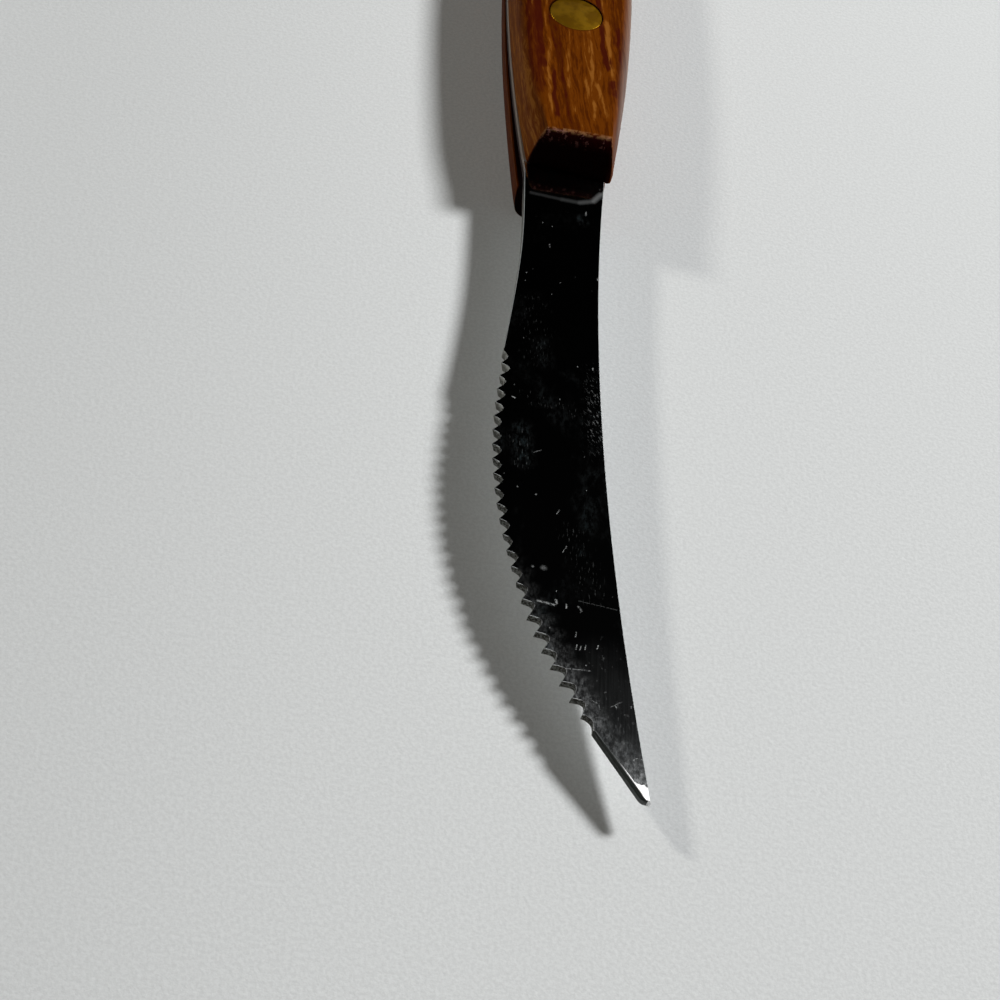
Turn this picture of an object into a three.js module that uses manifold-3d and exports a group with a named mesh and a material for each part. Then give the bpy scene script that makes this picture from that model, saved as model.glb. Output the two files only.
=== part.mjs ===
// Grapefruit knife: a flat steel blade with one serrated edge and a full tang,
// riveted between two wooden scales. Millimetres, +Z up. The knife lies on its
// lower scale with the tip towards -Y, the teeth at -X and the spine at +X.
// The origin is on the resting face, midway along the handle.

import * as THREE from 'three';
import { mergeVertices } from 'three/addons/utils/BufferGeometryUtils.js';
import Module from 'manifold-3d';

// Handle
const handleLength = 108;
const handleWidth = 19;
const handleFrontWidth = 11.9;
const handleRearWidth = 17.2;
const widestFromFront = 54;
const buttRadius = 7;
const scaleThickness = 5.6;
const shoulderInset = 3.4;
const shoulderRoundness = 3.6;
const shoulderShareLimit = 0.7;
const upperFrontInset = 1.25;
const upperFrontRoundness = 1.3;
const upperFrontSlant = 1.9;
const lowerFrontLead = 2;
const lowerFrontShift = 0.9;
const frontBlendLength = 16;
const buttRollLength = 5;
const buttRollDrop = 2.4;

// Blade, measured from the front end of the scales
const bladeLength = 98;
const stockThickness = 1.6;
const tipThickness = 1;
const taperStart = 10;
const bellyFromHandle = 50;
const bellyReach = 3.5;
const bellyEase = 1.35;
const spineStep = 0.9;
const spineLowFromHandle = 31;
const spineRadius = 410;
const bendStart = 30;
const bendRadius = 900;
const tangBlendLength = 9;

// Serrated edge and tip
const serrationStart = 38;
const toothPitch = 2.27;
const gulletDepth = 1.05;
const tipEdgeRun = 8;
const tipEdgeWidth = 5.1;
const tipWidth = 0.8;
const tipBevel = 0.28;

// Two-piece rivets
const frontRivetInset = 30.2;
const rearRivetInset = 30.2;
const headDiameter = 7.8;
const headThickness = 1.4;
const headCrown = 0.12;
const headRecess = 0.05;
const headClearance = 0.1;
const tubeDiameter = 5;
const pinDiameter = 3;
const pinClearance = 0.05;
const shankClearance = 0.1;
const tubeEndGap = 0.4;
const pinEndGap = 0.6;

// Fineness of the curved surfaces
const stepsPerTooth = 8;
const smoothEdgeSteps = 16;
const tipEdgeSteps = 8;
const tangSteps = 24;
const buttSteps = 8;
const shoulderSteps = 6;
const crownSteps = 3;
const roundSegments = 32;
const edgeSamples = 40;
const edgeDivisions = 400;
const settlePasses = 8;
const mergeDistance = 1e-4;

// Levels and places that follow from the sizes above
const frontEnd = -handleLength / 2;
const frontHalfWidth = handleFrontWidth / 2;
const rearHalfWidth = handleRearWidth / 2;
const buttCorner = Math.min(buttRadius, rearHalfWidth);
const tangBottom = scaleThickness;
const tangTop = tangBottom + stockThickness;
const tangMiddle = tangBottom + stockThickness / 2;
const handleTop = tangTop + scaleThickness;
const rivetPlaces = {
  front: frontEnd + frontRivetInset,
  rear: frontEnd + handleLength - rearRivetInset,
};

const { clamp, lerp, smoothstep } = THREE.MathUtils;

const wasm = await Module();
wasm.setup();

// Solids to cut with, and back to a geometry.
function toSolid(geometry) {
  const bare = new THREE.BufferGeometry();
  bare.setAttribute('position', geometry.getAttribute('position').clone());
  bare.setIndex(geometry.getIndex());
  const merged = mergeVertices(bare, mergeDistance);
  return new wasm.Manifold(new wasm.Mesh({
    numProp: 3,
    vertProperties: new Float32Array(merged.getAttribute('position').array),
    triVerts: new Uint32Array(merged.getIndex().array),
  }));
}

function toGeometry(solid) {
  const mesh = solid.getMesh();
  const geometry = new THREE.BufferGeometry();
  geometry.setAttribute('position', new THREE.BufferAttribute(mesh.vertProperties, 3));
  geometry.setIndex(new THREE.BufferAttribute(mesh.triVerts, 1));
  geometry.computeVertexNormals();
  return geometry;
}

// Joins rings of equally many points, in order, into one closed solid. Each ring
// turns counter-clockwise seen against the direction in which the rings advance.
function loft(rings) {
  const count = rings[0].length;
  const index = [];
  for (let ring = 0; ring + 1 < rings.length; ring += 1) {
    for (let i = 0; i < count; i += 1) {
      const a = ring * count + i;
      const b = ring * count + ((i + 1) % count);
      index.push(a, b, a + count, b, b + count, a + count);
    }
  }
  const last = (rings.length - 1) * count;
  for (let i = 1; i + 1 < count; i += 1) {
    index.push(0, i + 1, i);
    index.push(last, last + i, last + i + 1);
  }
  const geometry = new THREE.BufferGeometry().setFromPoints(rings.flat());
  geometry.setIndex(index);
  geometry.computeVertexNormals();
  return geometry;
}

// Handle outline: half the width at a distance behind the front end, widest near
// the middle, with rounded corners at the butt.
function handleHalfWidth(behind) {
  const widest = handleWidth / 2;
  const rearRun = handleLength - widestFromFront;
  const inFront = behind < widestFromFront;
  const end = inFront ? frontHalfWidth : rearHalfWidth;
  const share = (behind - widestFromFront) / (inFront ? widestFromFront : rearRun);
  const side = widest - (widest - end) * share * share;
  const intoCorner = Math.max(behind - (handleLength - buttCorner), 0);
  return side - buttCorner + Math.sqrt(buttCorner ** 2 - Math.min(intoCorner, buttCorner) ** 2);
}

// Distances behind the front end at which the handle is cut into rings: even
// steps along the sides, then close ones round the butt.
function handleStations() {
  const straight = handleLength - buttCorner;
  const sides = Array.from({ length: tangSteps }, (_, i) => (straight * i) / tangSteps);
  const corner = Array.from({ length: buttSteps + 1 }, (_, i) => (
    straight + buttCorner * Math.sin((Math.PI / 2) * (i / buttSteps))
  ));
  return [...sides, ...corner];
}

// Spine: a shallow hollow curve that starts a step inside the scales' side.
function spineAcross(along) {
  const start = frontHalfWidth - spineStep;
  return start + ((along - spineLowFromHandle) ** 2 - spineLowFromHandle ** 2) / (2 * spineRadius);
}

// Cutting side without its teeth: it swells from the handle to the belly, and an
// arc takes it from there to the corner where the plain tip edge starts.
const serrationEnd = bladeLength - tipEdgeRun;
const bellyAcross = -(frontHalfWidth + bellyReach);
const cornerAcross = spineAcross(serrationEnd) - tipEdgeWidth;
const bellyRun = serrationEnd - bellyFromHandle;
const bellyRise = cornerAcross - bellyAcross;
const bellyRadius = (bellyRun ** 2 + bellyRise ** 2) / (2 * bellyRise);

function cuttingSideAcross(along) {
  if (along < bellyFromHandle) {
    const share = (along / bellyFromHandle) ** bellyEase;
    return -frontHalfWidth - bellyReach * smoothstep(share, 0, 1);
  }
  const past = along - bellyFromHandle;
  return bellyAcross + bellyRadius - Math.sqrt(bellyRadius ** 2 - past ** 2);
}

// The blade is bent down gently towards its tip, and thins out on the way.
function bladePoint(across, along, height) {
  const turn = Math.max(along - bendStart, 0) / bendRadius;
  const reach = Math.min(along, bendStart) + (bendRadius + height) * Math.sin(turn);
  const rise = (bendRadius + height) * Math.cos(turn) - bendRadius;
  return new THREE.Vector3(across, frontEnd - reach, tangMiddle + rise);
}

function bladeThickness(along) {
  const share = clamp((along - taperStart) / (bladeLength - taperStart), 0, 1);
  return lerp(stockThickness, tipThickness, share);
}

// One rung of the blade, from a point on the cutting side to one on the spine.
// Points are (across, along), and bevel is how far the upper face stays back.
function bladeRing(edge, spine, bevel = new THREE.Vector2()) {
  const upper = edge.clone().add(bevel);
  const half = (point) => bladeThickness(point.y) / 2;
  return [
    bladePoint(upper.x, upper.y, half(upper)),
    bladePoint(edge.x, edge.y, -half(edge)),
    bladePoint(spine.x, spine.y, -half(spine)),
    bladePoint(spine.x, spine.y, half(spine)),
  ];
}

// The point of the spine that lies square across from a point of the edge.
function spineOpposite(point, slope) {
  let along = point.y;
  for (let pass = 0; pass < settlePasses; pass += 1) {
    along = point.y - (spineAcross(along) - point.x) * slope;
  }
  return new THREE.Vector2(spineAcross(along), along);
}

// Tang: the handle's outline, drawn in to the spine just behind the front end.
function tangRings() {
  return handleStations().filter((behind) => behind > 0).reverse().map((behind) => {
    const side = handleHalfWidth(behind);
    const spineStart = spineAcross(0);
    const spineSide = lerp(spineStart, side, smoothstep(behind, 0, tangBlendLength));
    return bladeRing(new THREE.Vector2(-side, -behind), new THREE.Vector2(spineSide, -behind));
  });
}

// Plain stretch of the cutting side between the handle and the first tooth.
function smoothEdgeRings() {
  return Array.from({ length: smoothEdgeSteps }, (_, i) => {
    const along = (serrationStart * i) / smoothEdgeSteps;
    const edge = new THREE.Vector2(cuttingSideAcross(along), along);
    return bladeRing(edge, new THREE.Vector2(spineAcross(along), along));
  });
}

// Serrated stretch: pointed teeth with round gullets, evenly spaced along the edge.
function serratedRings() {
  const samples = Array.from({ length: edgeSamples + 1 }, (_, i) => {
    const along = lerp(serrationStart, serrationEnd, i / edgeSamples);
    return new THREE.Vector2(cuttingSideAcross(along), along);
  });
  const edge = new THREE.SplineCurve(samples);
  edge.arcLengthDivisions = edgeDivisions;
  const teeth = Math.round(edge.getLength() / toothPitch);
  const steps = teeth * stepsPerTooth;
  return Array.from({ length: steps + 1 }, (_, i) => {
    const point = edge.getPointAt(i / steps);
    const tangent = edge.getTangentAt(i / steps);
    const inward = new THREE.Vector2(tangent.y, -tangent.x);
    const depth = gulletDepth * Math.abs(Math.sin((Math.PI * i) / stepsPerTooth));
    const spine = spineOpposite(point, tangent.x / tangent.y);
    return bladeRing(point.addScaledVector(inward, depth), spine);
  });
}

// Plain bevelled edge from the corner behind the last tooth to the blunt tip.
function tipEdgeRings() {
  const corner = new THREE.Vector2(cornerAcross, serrationEnd);
  const tip = new THREE.Vector2(spineAcross(bladeLength) - tipWidth, bladeLength);
  const direction = tip.clone().sub(corner).normalize();
  const bevel = new THREE.Vector2(direction.y, -direction.x).multiplyScalar(tipBevel);
  const cornerSlope = bellyRun / Math.sqrt(bellyRadius ** 2 - bellyRun ** 2);
  const spineFrom = spineOpposite(corner, cornerSlope).y;
  return Array.from({ length: tipEdgeSteps }, (_, i) => {
    const share = (i + 1) / tipEdgeSteps;
    const along = lerp(spineFrom, bladeLength, share);
    const spine = new THREE.Vector2(spineAcross(along), along);
    return bladeRing(corner.clone().lerp(tip, share), spine, bevel);
  });
}

// Hole for a rivet's shank, straight through at its place on the handle.
function shankHole(place) {
  const radius = tubeDiameter / 2 + shankClearance;
  const hole = new THREE.CylinderGeometry(radius, radius, handleTop * 2, roundSegments);
  hole.rotateX(Math.PI / 2);
  hole.translate(0, place, tangMiddle);
  return toSolid(hole);
}

function makeBlade() {
  const rings = [...tangRings(), ...smoothEdgeRings(), ...serratedRings(), ...tipEdgeRings()];
  let blade = toSolid(loft(rings));
  for (const place of Object.values(rivetPlaces)) {
    blade = blade.subtract(shankHole(place));
  }
  return toGeometry(blade);
}

// One ring of a scale: flat against the tang, a rounded shoulder on each side and
// a flat outer face. The upper scale's front end has flatter sides and leans back.
// The lower one's stands a little further forward and nearer to the teeth, so that
// it shows a narrow ledge beside the tang.
function scaleRing(behind, side) {
  const halfWidth = handleHalfWidth(behind);
  const blend = side > 0 ? smoothstep(behind, 0, frontBlendLength) : 1;
  const wantedInset = lerp(upperFrontInset, shoulderInset, blend);
  const inset = Math.min(wantedInset, halfWidth * shoulderShareLimit);
  const power = 2 / lerp(upperFrontRoundness, shoulderRoundness, blend);
  const intoRoll = Math.max(behind - (handleLength - buttRollLength), 0) / buttRollLength;
  const height = scaleThickness - buttRollDrop * (1 - Math.sqrt(1 - intoRoll ** 2));
  const nearFront = Math.max(1 - behind / frontBlendLength, 0);
  const frontHalf = Math.max(1 - behind / widestFromFront, 0);
  const shoulder = Array.from({ length: shoulderSteps + 1 }, (_, i) => {
    const angle = (Math.PI / 2) * (i / shoulderSteps);
    const across = halfWidth - inset + inset * Math.abs(Math.cos(angle)) ** power;
    const rise = height * Math.sin(angle) ** power;
    return { across, rise };
  });
  const place = ({ across, rise }, sign) => {
    if (side > 0) {
      const slant = upperFrontSlant * nearFront * (rise / scaleThickness);
      return new THREE.Vector3(sign * across, frontEnd + behind + slant, tangTop + rise);
    }
    const along = frontEnd + behind - lowerFrontLead * nearFront;
    return new THREE.Vector3(sign * across - lowerFrontShift * frontHalf, along, tangBottom - rise);
  };
  const right = shoulder.map((point) => place(point, 1));
  const left = shoulder.map((point) => place(point, -1)).reverse();
  const ring = [...right, ...left];
  return side > 0 ? ring : ring.reverse();
}

// Seat for a rivet's head in a scale's outer face.
function headSeat(place, side) {
  const radius = headDiameter / 2 + headClearance;
  const depth = headRecess + headThickness;
  const seat = new THREE.CylinderGeometry(radius, radius, depth * 2, roundSegments);
  seat.rotateX(Math.PI / 2);
  seat.translate(0, place, side > 0 ? handleTop : 0);
  return toSolid(seat);
}

function makeScale(side) {
  const rings = handleStations().reverse().map((behind) => scaleRing(behind, side));
  let scale = toSolid(loft(rings));
  for (const place of Object.values(rivetPlaces)) {
    scale = scale.subtract(shankHole(place)).subtract(headSeat(place, side));
  }
  return toGeometry(scale);
}

// Turned pieces are drawn as (radius, height) with the head's crown at the top.
function turned(profile) {
  const points = profile.map(([radius, height]) => new THREE.Vector2(radius, height));
  const geometry = new THREE.LatheGeometry(points, roundSegments);
  geometry.rotateX(Math.PI / 2);
  return geometry;
}

const headInside = handleTop - headRecess - headThickness;
const pinHeadInside = headRecess + headThickness;

// A head's outline, from its inner corner over the crowned face to the axis.
function headProfile() {
  const radius = headDiameter / 2;
  const crown = Array.from({ length: crownSteps + 1 }, (_, i) => {
    const share = 1 - i / crownSteps;
    return [radius * share, headThickness - headCrown * share * share];
  });
  return [[radius, 0], ...crown];
}

// Hollow half, from above: heights are measured up from the head's inner side.
function makeRivetTube() {
  const outer = tubeDiameter / 2;
  const bore = pinDiameter / 2 + pinClearance;
  const shank = headInside - pinHeadInside - tubeEndGap;
  return turned([
    [0, 0],
    [bore, 0],
    [bore, -shank],
    [outer, -shank],
    [outer, 0],
    ...headProfile(),
  ]);
}

// Solid half, from below: the same head with a pin that fills the tube's bore.
function makeRivetPin() {
  const pin = pinDiameter / 2;
  const length = headInside - pinHeadInside - pinEndGap;
  return turned([[0, -length], [pin, -length], [pin, 0], ...headProfile()]);
}

const steel = new THREE.MeshStandardMaterial({ color: 0xb9bcbf, roughness: 0.18, metalness: 1 });
const wood = new THREE.MeshStandardMaterial({ color: 0x8f4a1c, roughness: 0.45, metalness: 0 });
const brass = new THREE.MeshStandardMaterial({ color: 0xa58a2c, roughness: 0.35, metalness: 1 });

function named(name, geometry, material) {
  const mesh = new THREE.Mesh(geometry, material);
  mesh.name = name;
  return mesh;
}

const knife = new THREE.Group();
knife.add(named('blade', makeBlade(), steel));
knife.add(named('upper_scale', makeScale(1), wood));
knife.add(named('lower_scale', makeScale(-1), wood));

for (const [which, place] of Object.entries(rivetPlaces)) {
  const tube = named(`${which}_rivet_tube`, makeRivetTube(), brass);
  tube.position.set(0, place, headInside);
  const pin = named(`${which}_rivet_pin`, makeRivetPin(), brass);
  pin.rotation.x = Math.PI;
  pin.position.set(0, place, pinHeadInside);
  knife.add(tube, pin);
}

export default knife;
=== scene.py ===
"""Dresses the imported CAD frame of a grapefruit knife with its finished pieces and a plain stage."""

import math
from typing import NamedTuple

import bmesh
import bpy
from mathutils import Matrix, Vector, noise


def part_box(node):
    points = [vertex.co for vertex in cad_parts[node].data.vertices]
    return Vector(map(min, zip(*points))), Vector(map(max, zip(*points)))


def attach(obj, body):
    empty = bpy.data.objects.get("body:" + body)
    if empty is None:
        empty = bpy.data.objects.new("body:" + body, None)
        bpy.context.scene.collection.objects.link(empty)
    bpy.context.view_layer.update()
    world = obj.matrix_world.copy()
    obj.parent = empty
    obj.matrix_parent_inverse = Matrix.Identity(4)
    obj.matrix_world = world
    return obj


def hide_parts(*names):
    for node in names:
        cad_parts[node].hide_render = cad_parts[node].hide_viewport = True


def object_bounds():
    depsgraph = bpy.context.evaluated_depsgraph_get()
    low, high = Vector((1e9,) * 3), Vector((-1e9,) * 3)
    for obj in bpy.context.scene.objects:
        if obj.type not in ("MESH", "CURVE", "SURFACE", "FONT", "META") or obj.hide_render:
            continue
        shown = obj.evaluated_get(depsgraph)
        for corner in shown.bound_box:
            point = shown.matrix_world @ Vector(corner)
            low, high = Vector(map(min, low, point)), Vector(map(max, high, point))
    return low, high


bl_info = {
    "name": "Grapefruit Knife",
    "version": (1, 0, 0),
    "blender": (4, 5, 0),
    "location": "View3D > Sidebar > Knife",
    "description": "Builds a serrated grapefruit knife with riveted wooden scales on its CAD frame",
    "category": "Add Mesh",
}

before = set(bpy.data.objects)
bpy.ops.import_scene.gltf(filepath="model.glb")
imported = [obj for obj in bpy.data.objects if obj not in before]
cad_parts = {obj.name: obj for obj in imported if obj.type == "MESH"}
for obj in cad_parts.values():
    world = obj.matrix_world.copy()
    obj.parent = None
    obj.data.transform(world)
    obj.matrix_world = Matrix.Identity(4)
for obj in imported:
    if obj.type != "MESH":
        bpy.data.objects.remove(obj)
cad_low, cad_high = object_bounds()
scale_low, scale_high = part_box("upper_scale")
head_low, head_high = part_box("front_rivet_tube")

MM = 0.001
BODY = "root"
FRONT = scale_low.y
TANG_TOP = scale_low.z
HANDLE_TOP = scale_high.z
QUARTER_TURN = math.pi / 2
SHARP_ANGLE = math.radians(35)


def number(name, description, default, unit="NONE"):
    """A plain number setting."""
    return bpy.props.FloatProperty(
        name=name, description=description, default=default, unit=unit, precision=5
    )


def size(name, description, millimetres):
    """A length setting, written in millimetres and kept in metres."""
    return number(name, description, millimetres * MM, "LENGTH")


def shade(name, description, *colour):
    """A colour setting in linear light."""
    return bpy.props.FloatVectorProperty(
        name=name, description=description, default=colour, min=0.0, max=1.0, subtype="COLOR"
    )


class BladeSettings(bpy.types.PropertyGroup):
    """Sizes and colours of the blade."""

    length: size("Length", "From the front of the upper scale to the tip", 98)
    stock: size("Stock", "Thickness of the sheet at the handle", 1.6)
    tip_stock: size("Tip stock", "Thickness at the tip", 1.0)
    taper_start: size("Taper start", "Where the blade starts to get thinner", 10)
    belly_place: size("Belly place", "Distance of the widest place from the handle", 50)
    belly_reach: size("Belly reach", "How far the belly stands out past the handle", 3.49)
    belly_ease: number("Belly ease", "How late the cutting side swells to the belly", 1.35)
    spine_step: size("Spine step", "How far the spine starts inside the scales' side", 0.9)
    spine_low: size("Spine low", "Distance of the spine's deepest place from the handle", 31)
    spine_radius: size("Spine radius", "Radius of the spine's hollow curve", 410)
    bend_start: size("Bend start", "Where the blade starts to bend down", 30)
    bend_radius: size("Bend radius", "Radius of the bend towards the tip", 900)
    tang_blend: size("Tang blend", "Length over which the tang draws in to the spine", 9)
    tang_reach: size("Tang reach", "How far the tang stands out of the upper scale at its front", 0.22)
    serration_start: size("Serration start", "Distance of the first tooth from the handle", 35.75)
    tooth_pitch: size("Tooth pitch", "Distance from tooth to tooth along the edge", 2.27)
    gullet_depth: size("Gullet depth", "Depth of the round cuts between the teeth", 1.05)
    gullet_lean: number("Gullet lean", "How far the first gullets lean to the handle, over their depth", 0.41)
    tooth_draft: size("Tooth draft", "How far the first teeth's points stay back on the under side", 0.4)
    tip_edge_run: size("Tip edge run", "Length of the plain edge, measured along the blade", 8)
    tip_edge_width: size("Tip edge width", "Width of the blade where the plain edge starts", 5.1)
    tip_width: size("Tip width", "Width of the blunt tip", 0.8)
    tip_bevel: size("Tip bevel", "Width of the bevel where the plain edge starts", 0.1)
    tip_end_bevel: size("Tip end bevel", "Width of the bevel at the end of the plain edge", 0.34)
    burnish_start: size("Burnish start", "Where the bright line along the plain edge starts", 91.5)
    ground_start: size("Ground start", "Where the bright ground patch of the tip starts", 95.5)
    edge_round: size("Edge round", "Rounding of the sheet's edges", 0.05)
    rim_width: size("Rim width", "Width of the bright burr along the cutting side", 0.13)
    steel: shade("Steel", "Polished steel", 0.585, 0.605, 0.612)
    stamped: shade("Stamped edge", "Dark plain edge at the tip", 0.04, 0.045, 0.042)
    fresh_cut: shade("Fresh cut", "Clean walls of the teeth near the handle", 0.27, 0.268, 0.247)
    worn_cut: shade("Worn cut", "Rubbed walls of the teeth near the tip", 0.3, 0.305, 0.29)
    dirty_cut: shade("Dirty cut", "Dirt in the gullets near the tip", 0.05, 0.048, 0.04)
    ground: shade("Ground steel", "Bright ground steel at the tip and on burrs", 0.95, 0.95, 0.95)
    grime: shade("Grime", "Dirt in the seam under the tang", 0.015, 0.003, 0.002)
    film: shade("Film", "Bluish film on the polished face", 0.15, 0.5, 0.63)
    # Also paints the reflection line in front of the handle, a painted reflection of the rim of the upper
    # scale's end.
    dust_and_reflection: shade("Dust and reflection", "Small pale specks", 0.36, 0.37, 0.36)
    tang: shade("Tang", "Dull, handled edge of the tang", 0.21, 0.17, 0.138)


class HandleSettings(bpy.types.PropertyGroup):
    """Sizes and colours of the two scales."""

    length: size("Length", "Length of the handle", (scale_high.y - scale_low.y) / MM)
    width: size("Width", "Greatest width", 19)
    front_width: size("Front width", "Width at the front end", 11.9)
    rear_width: size("Rear width", "Width at the butt", 17.2)
    widest_place: size("Widest place", "Distance of the greatest width from the front", 54)
    butt_radius: size("Butt radius", "Radius of the corners at the butt", 7)
    thickness: size("Thickness", "Thickness of each scale", (scale_high.z - scale_low.z) / MM)
    shoulder: size("Shoulder", "Width of the rounded shoulders", 3.4)
    shoulder_power: number("Shoulder power", "How square the shoulders are", 3.6)
    front_teeth_inset: size("Front inset, teeth side", "Slope of the upper end on the teeth side", 1.9)
    front_spine_inset: size("Front inset, spine side", "Slope of the upper end on the spine side", 1.05)
    front_power: number("Front power", "How square the shoulders are at the upper end", 1.25)
    front_blend: size("Front blend", "Length over which the ends fade into the handle", 16)
    upper_slant: size("Upper slant", "How far the upper end leans back at its top", 2.5)
    upper_skew: size("Upper skew", "How far the upper end is cut askew at each side", 0.95)
    lower_lead: size("Lower lead", "How far the lower end stands in front of the upper one", 2.2)
    lower_shift: size("Lower shift", "How far the lower end sits towards the teeth", 0.9)
    butt_roll: size("Butt roll", "Length of the rounding at the butt", 5)
    butt_drop: size("Butt drop", "Drop of the rounding at the butt", 2.4)
    crown: size("Crown", "How far the outer faces fall off towards their sides", 0.12)
    worn_edge: size("Worn edge", "Rounding of the worn end edges", 0.45)
    soft_corner: size("Soft corner", "Rounding of the upper end's corner on the spine side", 1.0)
    # Also takes the painted light on the teeth-side flank of the upper scale.
    light: shade("Light wood", "Pale flecks along the grain", 0.228, 0.079, 0.011)
    golden: shade("Golden wood", "Bright part of the grain", 0.118, 0.028, 0.0012)
    brown: shade("Brown wood", "Main colour of the wood", 0.067, 0.0135, 0.0006)
    dark: shade("Dark wood", "Dark streaks", 0.045, 0.0042, 0.002)
    end_grain: shade("End grain", "Stained end grain", 0.005, 0.0005, 0.0003)
    torn_grain: shade("Torn grain", "Reddish top part of the end grain", 0.035, 0.003, 0.003)
    torn_fibre: shade("Torn fibre", "Pale specks on the end grain", 0.28, 0.12, 0.1)
    worn: shade("Worn wood", "Bare wood on the worn edges", 0.48, 0.245, 0.1)
    # Painted sheen: a pale colour that stands in for the varnish's grazing reflection of the table on the
    # spine side.
    faded: shade("Sheen wood", "Painted sheen of the varnish on the spine side", 0.36, 0.32, 0.29)


class RivetSettings(bpy.types.PropertyGroup):
    """Sizes and colours of the two-piece rivets."""

    inset: size("Inset", "Distance of the rivets from the ends of the handle", 30.2)
    head_diameter: size("Head diameter", "Diameter of the heads", (head_high.x - head_low.x) / MM)
    head_thickness: size("Head thickness", "Thickness of the heads", 1.4)
    head_crown: size("Head crown", "Height of the heads' crown", 0.12)
    head_recess: size("Head recess", "How far the heads sit below the wood", 0.05)
    head_clearance: size("Head clearance", "Gap round the heads", 0.1)
    tube_diameter: size("Tube diameter", "Outer diameter of the hollow half", 5)
    pin_diameter: size("Pin diameter", "Diameter of the solid half's pin", 3)
    pin_clearance: size("Pin clearance", "Gap between pin and tube", 0.05)
    shank_clearance: size("Shank clearance", "Gap round the tube", 0.1)
    tube_gap: size("Tube gap", "Gap past the tube's end", 0.4)
    pin_gap: size("Pin gap", "Gap past the pin's end", 0.6)
    brass: shade("Brass", "Dull brass", 0.66, 0.345, 0.014)
    tarnish: shade("Tarnish", "Olive tarnish", 0.43, 0.205, 0.006)


class StageSettings(bpy.types.PropertyGroup):
    """Table, lamps and camera."""

    table: shade("Table", "Colour of the table", 0.656, 0.672, 0.674)
    table_radius: size("Table radius", "Radius of the flat part of the table", 1200)
    rim_height: size("Rim height", "Height of the turned-up rim behind the table", 340)
    key_power: number("Key power", "Power of the strong lamp", 36.6, "POWER")
    fill_power: number("Fill power", "Power of the weak lamp", 52, "POWER")
    fill_colour: shade("Fill colour", "Colour of the weak lamp", 1.0, 0.97, 0.9)
    lens: number("Lens", "Focal length in millimetres", 69.606, "CAMERA")


def spread(count):
    """Shares from 0 to 1 in equal steps."""
    return [i / count for i in range(count + 1)]


def clamp(value, low=0.0, high=1.0):
    return max(low, min(high, value))


def ease(value, low, high):
    """0 below low, 1 above high and smooth between."""
    share = clamp((value - low) / (high - low))
    return share * share * (3 - 2 * share)


def mix(a, b, share):
    return a + (b - a) * share


def rounded(distance, radius):
    """How far a rounded edge lies back at a distance from its corner."""
    into = clamp(radius - distance, 0.0, radius)
    return radius - math.sqrt(radius**2 - into**2)


def butt_corner(handle):
    return min(handle.butt_radius, handle.rear_width / 2)


def handle_half_width(handle, behind):
    """Half the handle's width at a distance behind its front end."""
    widest = handle.width / 2
    in_front = behind < handle.widest_place
    end = (handle.front_width if in_front else handle.rear_width) / 2
    run = handle.widest_place if in_front else handle.length - handle.widest_place
    share = (behind - handle.widest_place) / run
    corner = butt_corner(handle)
    into = clamp(behind - (handle.length - corner), 0.0, corner)
    return widest - (widest - end) * share * share - corner + math.sqrt(corner**2 - into**2)


# Numbers of cross-sections along the parts of the blade, and of columns across its face. The tang's edge
# fades over a share of the heel, and the columns stand closer at the cutting side.
BUTT_STEPS = 16
TANG_STEPS = 60
HEEL_STEPS = 48
HEEL_FADE = 0.5
TIP_STEPS = 80
COLUMNS = 20
COLUMN_POWER = 1.4

# Places on the serrated edge, counted in teeth from the handle.
FIRST_TEETH = 1.5
LEANING_TEETH = 20
DRAFT_TURN = (14, 19)
LAST_GULLET = 24
LAST_GULLET_BLEND = 0.3

# Shares of the gullets' depth at the ends, of their lean and of the points' draft at the last teeth.
END_GULLET = 0.5
LAST_LEAN = 0.05
LAST_DRAFT = -0.3

# How much the gullets differ in depth, and the seed of the draw.
UNEVENNESS = 0.12
SEED = 5

# The tip: its rounding, and the most of the width that the bevel or the rim may take.
TIP_ROUND = 0.7 * MM
TIP_ROUND_SHARE = 0.8
WIDEST_BEVEL = 0.25
WIDEST_RIM = 0.2
BEVEL_DROP = 0.6

# The bright ground patch of the tip with its ragged border, and the bright line beside the edge.
RAGGED_DEPTH = 0.3 * MM
RAGGED_SCALE = 2600
PATCH_BLEND = 0.08 * MM
BURNISH_FADE = (0.13 * MM, 0.32 * MM)

# Runs of the burr and of the rubbed face along the blade, and their strengths.
BURR_RUN = (56 * MM, 80 * MM)
BURR = 0.6
SPINE_WALL = 0.4
LOWER_RUN = (60 * MM, 84 * MM)
RUBBED_RUN = (66 * MM, 75 * MM)
RUBBED_END = (88 * MM, 93 * MM)
RUBBED_WIDTHS = (0.5 * MM, 1.2 * MM, 3.2 * MM)
UPPER_RUB = 0.35
END_LOSS = 0.7


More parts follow.
